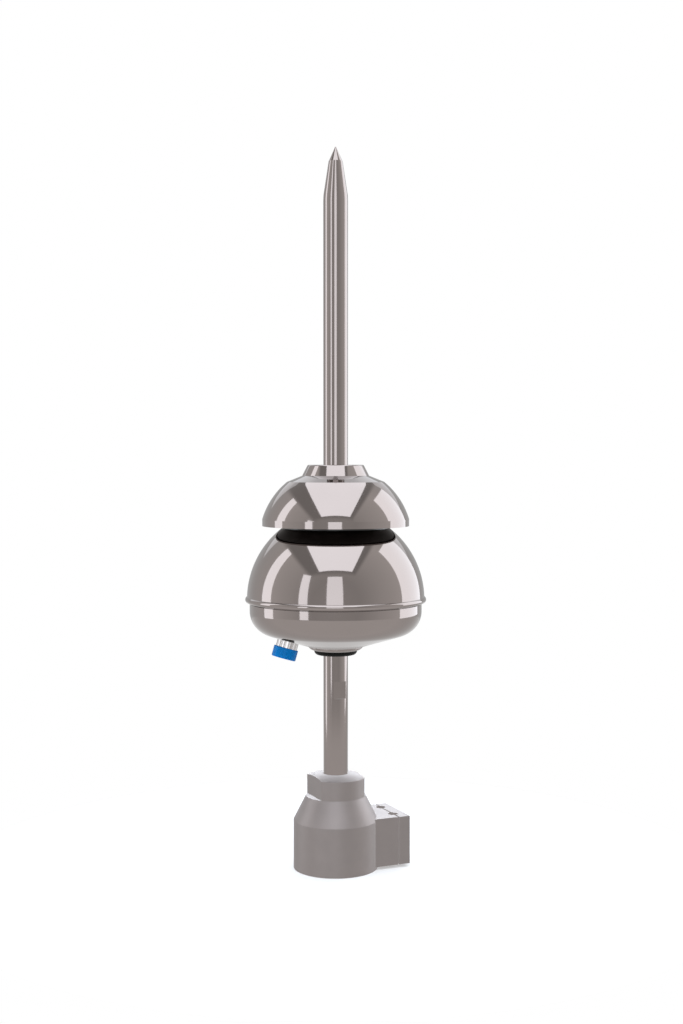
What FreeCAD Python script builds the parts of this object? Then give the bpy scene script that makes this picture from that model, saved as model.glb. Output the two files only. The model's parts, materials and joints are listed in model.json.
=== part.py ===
import FreeCAD, Part
import math
import os

# Air terminal with an early-streamer head, on an adaptor for a tube mast.
# Millimetres, +Z up. The origin is the centre of the mast socket's mouth.
# +X points to the clamp for the down conductors, -X to the test connector.

# Rod and shaft
rod_diameter = 20.0
rod_length = 262.8
tip_flat_diameter = 0.8
point_length = 11.6
point_root_diameter = 11.4
taper_length = 27.0
taper_root_diameter = 19.6
land_length = 4.4
stud_diameter = 16.0
stud_engagement = 28.0
stud_hole_spare = 3.0
thread_clearance = 0.1
slide_clearance = 0.3
cut_margin = 1.0
shaft_free_length = 97.3
shaft_engagement = 31.0
wrench_flats = 17.0
wrench_flat_length = 14.0
wrench_flat_height = 62.2

# Mast adaptor and its conductor clamp
mast_diameter = 48.3
mast_clearance = 0.35
adaptor_wall = 10.0
barrel_height = 39.7
socket_depth = 38.4
cone_height = 19.8
boss_diameter = 49.0
boss_height = 15.4
boss_flats = 38.0
crown_radius = 90.0
countersink = 0.4
edge_chamfer = 0.6
edge_round = 0.4
conductor_diameter = 8.0
conductor_spacing = 24.0
conductor_reach = 46.2
clamp_split = 1.1
clamp_width = 47.0
clamp_bottom = 2.5
clamp_height = 39.4
clamp_fillet = 1.5
plate_thickness = 9.5
clamp_screw_diameter = 8.0
clamp_screw_length = 25.0
clamp_hole_spare = 1.5
clamp_screw_pitch = 18.0
clamp_screw_head = 13.0
clamp_screw_head_height = 5.3
clamp_screw_crown = 12.4
washer_thickness = 1.6
washer_diameter = 16.0
mast_screw_diameter = 8.0
mast_screw_length = 10.0
mast_screw_pitch = 16.0
mast_screw_socket = 4.0
mast_screw_recess = 0.5

# Lower half of the housing and what closes it round the shaft
sheet_thickness = 1.5
dish_flat_diameter = 44.0
dish_slope = 16.7
dish_corner_radius = 20.0
dish_wall_height = 6.1
groove_depth = 0.7
groove_height = 0.8
bead_radius = 2.5
spigot_step = 0.5
spigot_rise = 4.6
spigot_clearance = 0.2
bush_lip_diameter = 35.0
bush_lip_height = 3.85
bush_round = 3.2
bush_neck_diameter = 26.0
bush_neck_length = 16.0
ring_height = 2.85
ring_edge = 0.6
ring_bulge = 0.6
ring_bottom_diameter = 35.6
bush_nut_flats = 35.0
bush_nut_height = 6.0

# Upper half of the housing, the insulator and the cap
dome_diameter = 144.4
dome_arc_radius = 73.2
dome_top_diameter = 88.0
dome_mouth_diameter = 72.0
insulator_height = 41.2
insulator_seat_diameter = 86.0
insulator_spigot_depth = 5.5
insulator_standoff = 3.0
insulator_plate_diameter = 114.0
insulator_plate_thickness = 4.5
insulator_hub_diameter = 52.0
insulator_wall = 7.5
insulator_web_count = 6
insulator_web_thickness = 2.5
cap_diameter = 119.4
cap_arc_radius = 62.4
cap_shoulder_diameter = 79.0
cap_shoulder_slope = 22.0
cap_skirt_height = 5.6
collar_base_diameter = 54.4
collar_top_diameter = 45.4
collar_height = 8.8
collar_round = 1.6
collar_spigot_diameter = 28.0
collar_spigot_length = 4.2
collar_ledge = 2.0
collar_screw_diameter = 6.0
collar_screw_length = 10.0
collar_screw_socket = 3.0

# Stack on the stud, inside the housing
shoulder_height = 22.5
shoulder_washer_diameter = 30.0
shoulder_washer_thickness = 3.0
base_plate_gap = 6.3
base_plate_thickness = 6.0
sleeve_wall = 4.7
pillar_count = 4
pillar_inset = 12.0
pillar_diameter = 10.0
base_screw_diameter = 5.0
base_screw_grip = 8.0
base_screw_head_diameter = 8.5
base_screw_head_height = 3.0

# Electronics
board_inset = 4.0
board_hole_diameter = 32.0
board_thickness = 1.6
spacer_height = 10.0
spacer_flats = 6.0
spacer_inset = 8.0
spacer_count = 4
board_screw_diameter = 3.0
board_screw_spare = 1.0
board_screw_head_diameter = 5.5
board_screw_head_height = 2.0
capacitor_diameter = 18.0
capacitor_height = 36.0
capacitor_groove_height = 3.6
capacitor_groove_depth = 0.7
capacitor_inset = 23.0
capacitor_angles = (-42.0, 0.0, 42.0)
core_length = 32.0
core_height = 26.0
core_width = 9.0
core_limb = 7.0
core_inset = 21.0
winding_diameter = 20.0
winding_gap = 0.5
arrester_diameter = 8.0
arrester_length = 14.0
arrester_inset = 20.0
arrester_cap_length = 2.5
arrester_cap_diameter = 9.0

# Test connector, square to the dish's slope
connector_inset = 28.3
connector_ring_diameter = 17.6
connector_ring_height = 5.2
flute_count = 16
flute_radius = 1.1
flute_offset = 0.44
connector_nose_diameter = 14.4
connector_nose_length = 7.0
connector_thread_diameter = 14.0
connector_thread_length = 10.0
connector_wall = 1.5
insert_clearance = 0.1
insert_recess = 3.0
pin_count = 4
pin_diameter = 1.6
pin_circle = 5.6
pin_tail = 3.0
connector_gasket_thickness = 1.0
connector_gasket_diameter = 19.0
connector_nut_flats = 17.0
connector_nut_height = 3.5
curve_gap = 0.35
cap_wall = 2.4
cap_height = 8.8
cap_round = 1.0

# Radii and heights that follow from the sizes above
rod_radius = rod_diameter / 2
stud_radius = stud_diameter / 2
stud_bore = stud_radius + slide_clearance
shaft_bore = rod_radius + slide_clearance
socket_radius = mast_diameter / 2 + mast_clearance
barrel_radius = socket_radius + adaptor_wall
conductor_radius = conductor_diameter / 2

boss_bottom = barrel_height + cone_height
boss_edge = boss_bottom + boss_height
shaft_hole = rod_radius + thread_clearance
crown_centre = boss_edge - math.sqrt(crown_radius ** 2 - (boss_diameter / 2) ** 2)
adaptor_top = crown_centre + math.sqrt(crown_radius ** 2 - shaft_hole ** 2)
bush_bottom = adaptor_top + shaft_free_length
ring_bottom = bush_bottom + bush_lip_height
dish_bottom = ring_bottom + ring_height
dome_radius = dome_diameter / 2
dome_inside = dome_radius - sheet_thickness
spigot_radius = dome_inside - spigot_clearance
dish_radius = spigot_radius - spigot_step
slope = math.radians(dish_slope)
dish_arc_centre = dish_radius - dish_corner_radius
dish_arc_height = dish_bottom + (
    dish_corner_radius + (dish_arc_centre - dish_flat_diameter / 2) * math.sin(slope)
) / math.cos(slope)
groove_bottom = dish_arc_height + dish_wall_height
groove_top = groove_bottom + groove_height
bead_height = groove_top + bead_radius
spigot_top = bead_height + spigot_rise
bead_circle = dome_inside + bead_radius / 6
dome_arc_centre = dome_radius - dome_arc_radius
dome_top = bead_height + math.sqrt(
    dome_arc_radius ** 2 - (dome_top_diameter / 2 - dome_arc_centre) ** 2
)

shoulder = dish_bottom + shoulder_height
base_plate_bottom = shoulder + shoulder_washer_thickness
base_plate_top = base_plate_bottom + base_plate_thickness
insulator_bottom = dome_top - insulator_spigot_depth
insulator_top = dome_top + insulator_height
cap_top = insulator_top + sheet_thickness
rod_seat = cap_top + collar_ledge
stud_top = rod_seat + stud_engagement

base_plate_radius = dish_radius - sheet_thickness - base_plate_gap
pillar_circle = base_plate_radius - pillar_inset
board_radius = base_plate_radius - board_inset
spacer_circle = board_radius - spacer_inset
capacitor_circle = board_radius - capacitor_inset
core_reach = board_radius - core_inset
arrester_reach = board_radius - arrester_inset
board_bottom = base_plate_top + spacer_height
board_top = board_bottom + board_thickness

connector_reach = dish_radius - connector_inset
connector_wall_height = dish_bottom + (connector_reach - dish_flat_diameter / 2) * math.tan(slope)
clamp_top = clamp_bottom + clamp_height
clamp_face = conductor_reach - clamp_split / 2
plate_face = conductor_reach + clamp_split / 2
plate_outside = plate_face + plate_thickness

ORIGIN = FreeCAD.Vector(0, 0, 0)
UP = FreeCAD.Vector(0, 0, 1)
ALONG_X = FreeCAD.Vector(1, 0, 0)
ALONG_Y = FreeCAD.Vector(0, 1, 0)


def turned(start, *steps):
    """Turn a closed outline about Z. A step is a point (r, z), or an arc (via r, z, end r, z)."""
    edges = []
    here = FreeCAD.Vector(start[0], 0, start[1])
    for step in steps + (start,):
        there = FreeCAD.Vector(step[-2], 0, step[-1])
        if len(step) == 4:
            via = FreeCAD.Vector(step[0], 0, step[1])
            edges.append(Part.Arc(here, via, there).toShape())
        elif here.distanceToPoint(there) > 1e-7:
            edges.append(Part.LineSegment(here, there).toShape())
        here = there
    face = Part.Face(Part.Wire(edges))
    return face.revolve(ORIGIN, UP, 360)


def cylinder(radius, bottom, top, x=0.0, y=0.0):
    return Part.makeCylinder(radius, top - bottom, FreeCAD.Vector(x, y, bottom))


def tube(inner, outer, bottom, top, x=0.0, y=0.0):
    hole = cylinder(inner, bottom - cut_margin, top + cut_margin, x, y)
    return cylinder(outer, bottom, top, x, y).cut(hole)


def box(x_range, y_range, z_range):
    size = [high - low for low, high in (x_range, y_range, z_range)]
    return Part.makeBox(*size, FreeCAD.Vector(x_range[0], y_range[0], z_range[0]))


def hexagon(across_flats, height):
    """Hexagonal prism that stands on the XY plane."""
    corner = across_flats / 2 / math.cos(math.pi / 6)
    points = []
    for step in range(7):
        angle = math.radians(60 * step)
        points.append(FreeCAD.Vector(corner * math.cos(angle), corner * math.sin(angle), 0))
    return Part.Face(Part.makePolygon(points)).extrude(UP * height)


def placed(shape, position, direction=UP):
    """A copy of a shape, its own Z axis turned to a direction, at a position."""
    copy = shape.copy()
    move = FreeCAD.Placement(position, FreeCAD.Rotation(UP, direction))
    copy.Placement = move.multiply(copy.Placement)
    return copy


def around(radius, angle, height=0.0):
    """A point on a circle about the main axis, the angle in degrees."""
    turn = math.radians(angle)
    return FreeCAD.Vector(radius * math.cos(turn), radius * math.sin(turn), height)


def on_arc(centre_r, centre_z, radius, angle):
    """A point (r, z) on an arc of an outline, the angle in radians above the horizontal."""
    return centre_r + radius * math.cos(angle), centre_z + radius * math.sin(angle)


def rounded(before, corner, after, radius):
    """The two steps that round a corner of an outline: to its arc, and round the arc."""
    here = FreeCAD.Vector(*corner, 0)
    back = (FreeCAD.Vector(*before, 0) - here).normalize()
    ahead = (FreeCAD.Vector(*after, 0) - here).normalize()
    half = back.getAngle(ahead) / 2
    start = here + back * (radius / math.tan(half))
    end = here + ahead * (radius / math.tan(half))
    via = here + (back + ahead).normalize() * (radius / math.sin(half) - radius)
    return (start.x, start.y), (via.x, via.y, end.x, end.y)


def tip_rod():
    radius = rod_radius
    top = rod_seat + rod_length
    point_root = top - point_length
    taper_root = point_root - taper_length
    hole_top = rod_seat + stud_engagement + stud_hole_spare
    hole_radius = stud_radius + thread_clearance
    return turned(
        (hole_radius, rod_seat),
        (radius - edge_chamfer, rod_seat),
        (radius, rod_seat + edge_chamfer),
        (radius, taper_root - land_length),
        (taper_root_diameter / 2, taper_root),
        (point_root_diameter / 2, point_root),
        (tip_flat_diameter / 2, top),
        (0, top),
        (0, hole_top + hole_radius / math.sqrt(3)),
        (hole_radius, hole_top),
    )


def shaft():
    foot = adaptor_top - shaft_engagement
    body = turned(
        (0, foot),
        (rod_radius - edge_chamfer, foot),
        (rod_radius, foot + edge_chamfer),
        (rod_radius, shoulder),
        (stud_radius, shoulder),
        (stud_radius, stud_top - edge_chamfer),
        (stud_radius - edge_chamfer, stud_top),
        (0, stud_top),
    )
    flat_bottom = adaptor_top + wrench_flat_height
    heights = (flat_bottom, flat_bottom + wrench_flat_length)
    wide = (-rod_diameter, rod_diameter)
    for side in (-1, 1):
        cheek = sorted((side * wrench_flats / 2, side * rod_diameter))
        body = body.cut(box(wide, cheek, heights))
    return body


def on_crown(radius):
    """A point of the adaptor's domed top face at a distance from the axis."""
    return radius, crown_centre + math.sqrt(crown_radius ** 2 - radius ** 2)


def mast_adaptor():
    """Cast body: barrel, cone and boss with rounded edges, and the fixed jaw of the clamp."""
    boss = boss_diameter / 2
    mouth = (socket_radius, 0)
    foot = (barrel_radius, 0)
    barrel_top = (barrel_radius, barrel_height)
    boss_foot = (boss, boss_bottom)
    boss_rim = (boss, boss_edge)
    crown_start = on_crown(boss - edge_round)
    sunk = shaft_hole + countersink
    body = turned(
        mouth,
        *rounded(mouth, foot, barrel_top, edge_round),
        *rounded(foot, barrel_top, boss_foot, edge_round),
        *rounded(barrel_top, boss_foot, boss_rim, edge_round),
        *rounded(boss_foot, boss_rim, crown_start, edge_round),
        (*on_crown((boss + sunk) / 2), *on_crown(sunk)),
        (shaft_hole, adaptor_top - countersink),
        (shaft_hole, socket_depth),
        (socket_radius, socket_depth),
    )
    for side in (-1, 1):
        cheek = sorted((side * boss_flats / 2, side * boss_diameter))
        deep = (-boss_diameter, boss_diameter)
        body = body.cut(box(cheek, deep, (boss_bottom, adaptor_top + cut_margin)))
    body = body.fuse(fixed_jaw()).cut(cylinder(socket_radius, -cut_margin, socket_depth))
    for hole in conductor_holes():
        body = body.cut(hole)
    for height in clamp_screw_heights():
        engagement = clamp_screw_length - plate_thickness - washer_thickness - clamp_split
        length = engagement + clamp_hole_spare
        start = FreeCAD.Vector(clamp_face - length, 0, height)
        tapped = clamp_screw_diameter / 2 + thread_clearance
        body = body.cut(Part.makeCylinder(tapped, length + cut_margin, start, ALONG_X))
    for height in mast_screw_heights():
        start = FreeCAD.Vector(0, socket_radius - cut_margin, height)
        tapped = mast_screw_diameter / 2 + thread_clearance
        body = body.cut(Part.makeCylinder(tapped, adaptor_wall + 2 * cut_margin, start, ALONG_Y))
    return body.removeSplitter()


def fixed_jaw():
    """Block with fillets where it leaves the barrel, and its other edges rounded."""
    half = clamp_width / 2
    reach = math.sqrt((barrel_radius + clamp_fillet) ** 2 - (half + clamp_fillet) ** 2)
    turn = math.degrees(math.atan2(half + clamp_fillet, reach))
    edges = []
    sides = []
    for side in (-1, 1):
        centre = FreeCAD.Vector(reach, side * (half + clamp_fillet), clamp_bottom)
        on_barrel = around(barrel_radius, side * turn, clamp_bottom)
        on_side = FreeCAD.Vector(reach, side * half, clamp_bottom)
        bisector = (on_barrel - centre).normalize() + (on_side - centre).normalize()
        via = centre + bisector.normalize() * clamp_fillet
        edges.append(Part.Arc(on_barrel, via, on_side).toShape())
        at_split = FreeCAD.Vector(clamp_face, side * half, clamp_bottom)
        edges.append(Part.LineSegment(on_side, at_split).toShape())
        sides.append((on_barrel, at_split))
    for here, there in zip(*sides):
        edges.append(Part.LineSegment(here, there).toShape())
    plan = Part.Face(Part.Wire(Part.__sortEdges__(edges)))
    block = plan.extrude(UP * clamp_height)
    outer = [edge for edge in block.Edges if edge.CenterOfMass.x > reach + clamp_fillet]
    return block.makeFillet(edge_round, outer)


def conductor_holes():
    holes = []
    for side in (-1, 1):
        y = side * conductor_spacing / 2
        hole = cylinder(conductor_radius, clamp_bottom, clamp_top, conductor_reach, y)
        holes.append(hole)
    return holes


def clamp_screw_heights():
    middle = (clamp_bottom + clamp_top) / 2
    return middle - clamp_screw_pitch / 2, middle + clamp_screw_pitch / 2


def mast_screw_heights():
    middle = socket_depth / 2
    return middle - mast_screw_pitch / 2, middle + mast_screw_pitch / 2


def clamp_plate():
    half = clamp_width / 2
    body = box((plate_face, plate_outside), (-half, half), (clamp_bottom, clamp_top))
    body = body.makeFillet(edge_round, body.Edges)
    for hole in conductor_holes():
        body = body.cut(hole)
    for height in clamp_screw_heights():
        start = FreeCAD.Vector(plate_face - cut_margin, 0, height)
        clear = clamp_screw_diameter / 2 + slide_clearance
        body = body.cut(Part.makeCylinder(clear, plate_thickness + 2 * cut_margin, start, ALONG_X))
    return body


def clamp_washers():
    group = []
    for height in clamp_screw_heights():
        washer = tube(
            clamp_screw_diameter / 2 + slide_clearance, washer_diameter / 2, 0, washer_thickness
        )
        group.append(placed(washer, FreeCAD.Vector(plate_outside, 0, height), ALONG_X))
    return Part.makeCompound(group)


def clamp_screws():
    radius = clamp_screw_diameter / 2
    corner = clamp_screw_head / 2 / math.cos(math.pi / 6) + edge_chamfer / 2
    shank = turned(
        (0, -clamp_screw_length),
        (radius - edge_chamfer, -clamp_screw_length),
        (radius, edge_chamfer - clamp_screw_length),
        (radius, 0),
        (0, 0),
    )
    crown_cone = turned(
        (0, 0),
        (corner, 0),
        (corner, clamp_screw_head_height - 2 * edge_chamfer),
        (clamp_screw_crown / 2, clamp_screw_head_height),
        (0, clamp_screw_head_height),
    )
    head = hexagon(clamp_screw_head, clamp_screw_head_height).common(crown_cone)
    screw = shank.fuse(head).removeSplitter()
    seat = plate_outside + washer_thickness
    group = []
    for height in clamp_screw_heights():
        group.append(placed(screw, FreeCAD.Vector(seat, 0, height), ALONG_X))
    return Part.makeCompound(group)


def set_screw(diameter, length, socket):
    """Grub screw along its own +Z, its point at zero and its hexagon socket on top."""
    radius = diameter / 2
    body = turned(
        (0, 0),
        (radius - edge_chamfer * 2, 0),
        (radius, edge_chamfer * 2),
        (radius, length - edge_chamfer),
        (radius - edge_chamfer, length),
        (0, length),
    )
    recess = hexagon(socket, length / 2)
    recess.translate(UP * (length / 2))
    return body.cut(recess)


def mast_set_screws():
    screw = set_screw(mast_screw_diameter, mast_screw_length, mast_screw_socket)
    group = []
    for height in mast_screw_heights():
        position = FreeCAD.Vector(0, socket_radius + mast_screw_recess, height)
        group.append(placed(screw, position, ALONG_Y))
    return Part.makeCompound(group)


def top_collar():
    base = collar_base_diameter / 2
    top = collar_top_diameter / 2
    lean = math.atan2(base - top, collar_height)
    crown = cap_top + collar_height
    arc_z = crown - collar_round
    arc_r = base - (arc_z - cap_top) * math.tan(lean) - collar_round / math.cos(lean)
    tangent = on_arc(arc_r, arc_z, collar_round, lean)
    via = on_arc(arc_r, arc_z, collar_round, (lean + math.pi / 2) / 2)
    spigot = collar_spigot_diameter / 2
    body = turned(
        (stud_bore, cap_top - collar_spigot_length),
        (spigot, cap_top - collar_spigot_length),
        (spigot, cap_top),
        (base, cap_top),
        tangent,
        (*via, arc_r, crown),
        (rod_radius + thread_clearance, crown),
        (rod_radius + thread_clearance, rod_seat),
        (stud_bore, rod_seat),
    )
    tapped = collar_screw_diameter / 2 + thread_clearance
    start = FreeCAD.Vector(0, rod_radius, collar_screw_height())
    return body.cut(Part.makeCylinder(tapped, base, start, ALONG_Y))


def collar_screw_height():
    return (rod_seat + cap_top + collar_height - collar_round) / 2


def collar_set_screw():
    screw = set_screw(collar_screw_diameter, collar_screw_length, collar_screw_socket)
    position = FreeCAD.Vector(0, rod_radius + thread_clearance, collar_screw_height())
    return placed(screw, position, ALONG_Y)


def cap_form(inset):
    """Solid under the cap's outer face, or under its inner face with the sheet as inset."""
    tilt = math.radians(cap_shoulder_slope)
    seat = collar_base_diameter / 2
    shoulder_r = cap_shoulder_diameter / 2
    shoulder_z = cap_top - (shoulder_r - seat) * math.tan(tilt)
    centre_z = shoulder_z - math.sqrt(cap_arc_radius ** 2 - shoulder_r ** 2)
    top = cap_top - inset
    corner_r = seat - inset * math.tan(tilt / 2)
    arc = cap_arc_radius - inset
    reach = corner_r * math.sin(tilt) + (top - centre_z) * math.cos(tilt)
    meet = tilt + math.acos(reach / arc)
    meet_r = arc * math.sin(meet)
    meet_z = centre_z + arc * math.cos(meet)
    wall = cap_diameter / 2 - inset
    skirt_z = centre_z + math.sqrt(arc ** 2 - wall ** 2)
    outer_skirt = centre_z + math.sqrt(cap_arc_radius ** 2 - (cap_diameter / 2) ** 2)
    rim = outer_skirt - cap_skirt_height - (cut_margin if inset else 0.0)
    halfway = (meet + math.asin(wall / arc)) / 2
    via = (arc * math.sin(halfway), centre_z + arc * math.cos(halfway))
    return turned(
        (0, rim),
        (wall, rim),
        (wall, skirt_z),
        (*via, meet_r, meet_z),
        (corner_r, top),
        (0, top),
    )


def upper_cap():
    shell = cap_form(0.0).cut(cap_form(sheet_thickness))
    hole = collar_spigot_diameter / 2 + spigot_clearance
    return shell.cut(cylinder(hole, insulator_top - cut_margin, cap_top + cut_margin))


def upper_insulator():
    seat = insulator_seat_diameter / 2
    spigot = dome_mouth_diameter / 2 - slide_clearance
    plate_bottom = dome_top + insulator_standoff
    plate_top = plate_bottom + insulator_plate_thickness
    plate = insulator_plate_diameter / 2
    hub = insulator_hub_diameter / 2
    recess = collar_spigot_diameter / 2 + slide_clearance
    recess_floor = cap_top - collar_spigot_length - slide_clearance
    body = turned(
        (stud_bore, insulator_bottom),
        (spigot, insulator_bottom),
        (spigot, dome_top),
        (seat, dome_top),
        (seat, plate_bottom),
        (plate, plate_bottom),
        (plate, plate_top - edge_chamfer),
        (plate - edge_chamfer, plate_top),
        (hub, plate_top),
        (hub, insulator_top),
        (recess, insulator_top),
        (recess, recess_floor),
        (stud_bore, recess_floor),
    )
    core_inner = stud_bore + insulator_wall
    core_outer = min(hub, spigot) - insulator_wall / 2
    pocket_top = recess_floor - insulator_wall
    pocket = tube(core_inner, core_outer, insulator_bottom - cut_margin, pocket_top)
    for index in range(insulator_web_count):
        web = box(
            (0, core_outer + cut_margin),
            (-insulator_web_thickness / 2, insulator_web_thickness / 2),
            (insulator_bottom - 2 * cut_margin, pocket_top + cut_margin),
        )
        web.rotate(ORIGIN, UP, 360 / insulator_web_count * (index + 0.5))
        pocket = pocket.cut(web)
    return body.cut(pocket).removeSplitter()


def dome_arc(inset, ring):
    """The dome's arc at the sheet's outer or inner face: its ends and a point between.

    It runs from the flat top down to the circle of the bead's own face.
    """
    arc = dome_arc_radius - inset
    top = dome_top - inset
    reach = bead_circle - dome_arc_centre
    low = math.acos((reach ** 2 + arc ** 2 - ring ** 2) / (2 * reach * arc))
    high = math.asin((top - bead_height) / arc)
    return [on_arc(dome_arc_centre, bead_height, arc, angle) for angle in (low, (low + high) / 2, high)]


def housing_dome():
    """Spun dome, turned in at its top for the insulator and rolled outwards at its edge."""
    mouth = dome_mouth_diameter / 2
    hollow = bead_radius - sheet_thickness
    step = bead_circle - dome_inside
    outer_low, outer_via, outer_high = dome_arc(0.0, bead_radius)
    inner_low, inner_via, inner_high = dome_arc(sheet_thickness, hollow)
    return turned(
        (mouth, dome_top),
        outer_high,
        (*outer_via, *outer_low),
        (bead_circle + bead_radius, bead_height, bead_circle, bead_height - bead_radius),
        (dome_inside, bead_height - math.sqrt(bead_radius ** 2 - step ** 2)),
        (dome_inside, bead_height - math.sqrt(hollow ** 2 - step ** 2)),
        (bead_circle + hollow, bead_height, *inner_low),
        (*inner_via, *inner_high),
        (mouth, dome_top - sheet_thickness),
    )


def seam_gasket():
    room = bead_circle + bead_radius - sheet_thickness - spigot_radius
    section = room / 2 - spigot_clearance / 4
    centre = spigot_radius + room / 2
    return Part.makeTorus(centre, section, FreeCAD.Vector(0, 0, bead_height), UP)


def dish_form(inset):
    """Solid inside the dish's outer face, or inside its inner face with the sheet as inset."""
    bottom = dish_bottom + inset
    flat = dish_flat_diameter / 2 - inset * math.tan(slope / 2)
    arc = dish_corner_radius - inset
    wall = dish_radius - inset
    tangent = on_arc(dish_arc_centre, dish_arc_height, arc, slope - math.pi / 2)
    via = on_arc(dish_arc_centre, dish_arc_height, arc, (slope - math.pi / 2) / 2)
    if inset:
        return turned(
            (0, bottom), (flat, bottom), tangent, (*via, wall, dish_arc_height),
            (wall, spigot_top + cut_margin), (0, spigot_top + cut_margin),
        )
    groove = dish_radius - groove_depth
    return turned(
        (0, bottom),
        (flat, bottom),
        tangent,
        (*via, wall, dish_arc_height),
        (wall, groove_bottom),
        (groove, groove_bottom + groove_height / 3),
        (groove, groove_top - groove_height / 3),
        (spigot_radius, groove_top),
        (spigot_radius, spigot_top - 2 * edge_chamfer),
        (spigot_radius - edge_chamfer, spigot_top),
        (0, spigot_top),
    )


def housing_dish():
    shell = dish_form(0.0).cut(dish_form(sheet_thickness))
    hole = bush_neck_diameter / 2 + slide_clearance
    shell = shell.cut(cylinder(hole, dish_bottom - cut_margin, dish_bottom + 2 * sheet_thickness))
    deep = connector_thread_length / 2
    opening = cylinder(connector_thread_diameter / 2 + slide_clearance, -deep, deep)
    return shell.cut(on_connector(opening))


def bottom_flange():
    """Turned ring with a convex edge, under the dish."""
    hole = bush_neck_diameter / 2 + slide_clearance
    foot = ring_bottom_diameter / 2
    top = dish_flat_diameter / 2
    rise = ring_height - ring_edge
    lean = math.atan2(rise, top - foot)
    bulge_r = (foot + top) / 2 + ring_bulge * math.sin(lean)
    bulge_z = ring_bottom + rise / 2 - ring_bulge * math.cos(lean)
    return turned(
        (hole, ring_bottom),
        (foot, ring_bottom),
        (bulge_r, bulge_z, top, dish_bottom - ring_edge),
        (top, dish_bottom),
        (hole, dish_bottom),
    )


def bottom_insulator():
    lip = bush_lip_diameter / 2
    neck = bush_neck_diameter / 2
    via = on_arc(lip - bush_round, bush_bottom + bush_round, bush_round, -math.pi / 4)
    return turned(
        (shaft_bore, bush_bottom),
        (lip - bush_round, bush_bottom),
        (*via, lip, bush_bottom + bush_round),
        (lip, ring_bottom),
        (neck, ring_bottom),
        (neck, ring_bottom + bush_neck_length),
        (shaft_bore, ring_bottom + bush_neck_length),
    )


def insulator_nut():
    bottom = dish_bottom + sheet_thickness
    nut = hexagon(bush_nut_flats, bush_nut_height)
    nut.translate(UP * bottom)
    hole = bush_neck_diameter / 2 + thread_clearance
    return nut.cut(cylinder(hole, bottom - cut_margin, bottom + bush_nut_height + cut_margin))


def shoulder_washer():
    return tube(stud_bore, shoulder_washer_diameter / 2, shoulder, base_plate_bottom)


def pillar_angles():
    return [360 / pillar_count * (index + 0.5) for index in range(pillar_count)]


def base_plate():
    plate = tube(stud_bore, base_plate_radius, base_plate_bottom, base_plate_top)
    for angle in pillar_angles():
        place = around(pillar_circle, angle)
        clear = base_screw_diameter / 2 + slide_clearance
        bottom = base_plate_bottom - cut_margin
        plate = plate.cut(cylinder(clear, bottom, base_plate_top + cut_margin, place.x, place.y))
    return plate


def base_pillars():
    """Studs welded in the dish, each cut to its slope, up to the base plate."""
    room = dish_form(sheet_thickness)
    group = []
    for angle in pillar_angles():
        place = around(pillar_circle, angle)
        pillar = cylinder(pillar_diameter / 2, dish_bottom, base_plate_bottom, place.x, place.y)
        pillar = pillar.common(room)
        tapped = base_screw_diameter / 2 + thread_clearance
        depth = base_plate_bottom - base_screw_grip - thread_clearance
        pillar = pillar.cut(cylinder(tapped, depth, base_plate_bottom + cut_margin, place.x, place.y))
        group.append(pillar)
    return Part.makeCompound(group)


def pan_screw(diameter, grip, head_diameter, head_height):
    """Pan head screw along its own Z, the underside of its head at zero."""
    head = head_diameter / 2
    edge = head_height / 3
    via = on_arc(head - edge, head_height - edge, edge, math.pi / 4)
    return turned(
        (0, -grip),
        (diameter / 2, -grip),
        (diameter / 2, 0),
        (head, 0),
        (head, head_height - edge),
        (*via, head - edge, head_height),
        (0, head_height),
    )


def base_screws():
    grip = base_plate_thickness + base_screw_grip
    screw = pan_screw(base_screw_diameter, grip, base_screw_head_diameter, base_screw_head_height)
    places = [around(pillar_circle, angle, base_plate_top) for angle in pillar_angles()]
    return Part.makeCompound([placed(screw, place) for place in places])


def insulating_sleeve():
    return tube(stud_bore, stud_bore + sleeve_wall, base_plate_top, insulator_bottom)


def spacer_angles():
    return [360 / spacer_count * index for index in range(spacer_count)]


def board_spacers():
    group = []
    for angle in spacer_angles():
        spacer = hexagon(spacer_flats, spacer_height)
        tapped = board_screw_diameter / 2 + thread_clearance
        hole = cylinder(tapped, spacer_height / 2, spacer_height + cut_margin)
        group.append(placed(spacer.cut(hole), around(spacer_circle, angle, base_plate_top)))
    return Part.makeCompound(group)


def circuit_board():
    board = tube(board_hole_diameter / 2, board_radius, board_bottom, board_top)
    for angle in spacer_angles():
        place = around(spacer_circle, angle)
        clear = board_screw_diameter / 2 + slide_clearance
        bottom = board_bottom - cut_margin
        board = board.cut(cylinder(clear, bottom, board_top + cut_margin, place.x, place.y))
    return board


def board_screws():
    grip = board_thickness + spacer_height / 2 - board_screw_spare
    screw = pan_screw(
        board_screw_diameter, grip, board_screw_head_diameter, board_screw_head_height
    )
    places = [around(spacer_circle, angle, board_top) for angle in spacer_angles()]
    return Part.makeCompound([placed(screw, place) for place in places])


def storage_capacitors():
    """Round cans with the crimped groove that such capacitors have above their seal."""
    radius = capacitor_diameter / 2
    groove = capacitor_groove_height
    depth = capacitor_groove_depth
    can = turned(
        (0, 0),
        (radius - depth, 0),
        (radius, depth),
        (radius, groove),
        (radius - depth, groove + depth),
        (radius, groove + 2 * depth),
        (radius, capacitor_height - depth),
        (radius - depth, capacitor_height),
        (0, capacitor_height),
    )
    places = [around(capacitor_circle, angle, board_top) for angle in capacitor_angles]
    return Part.makeCompound([placed(can, place) for place in places])


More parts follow.
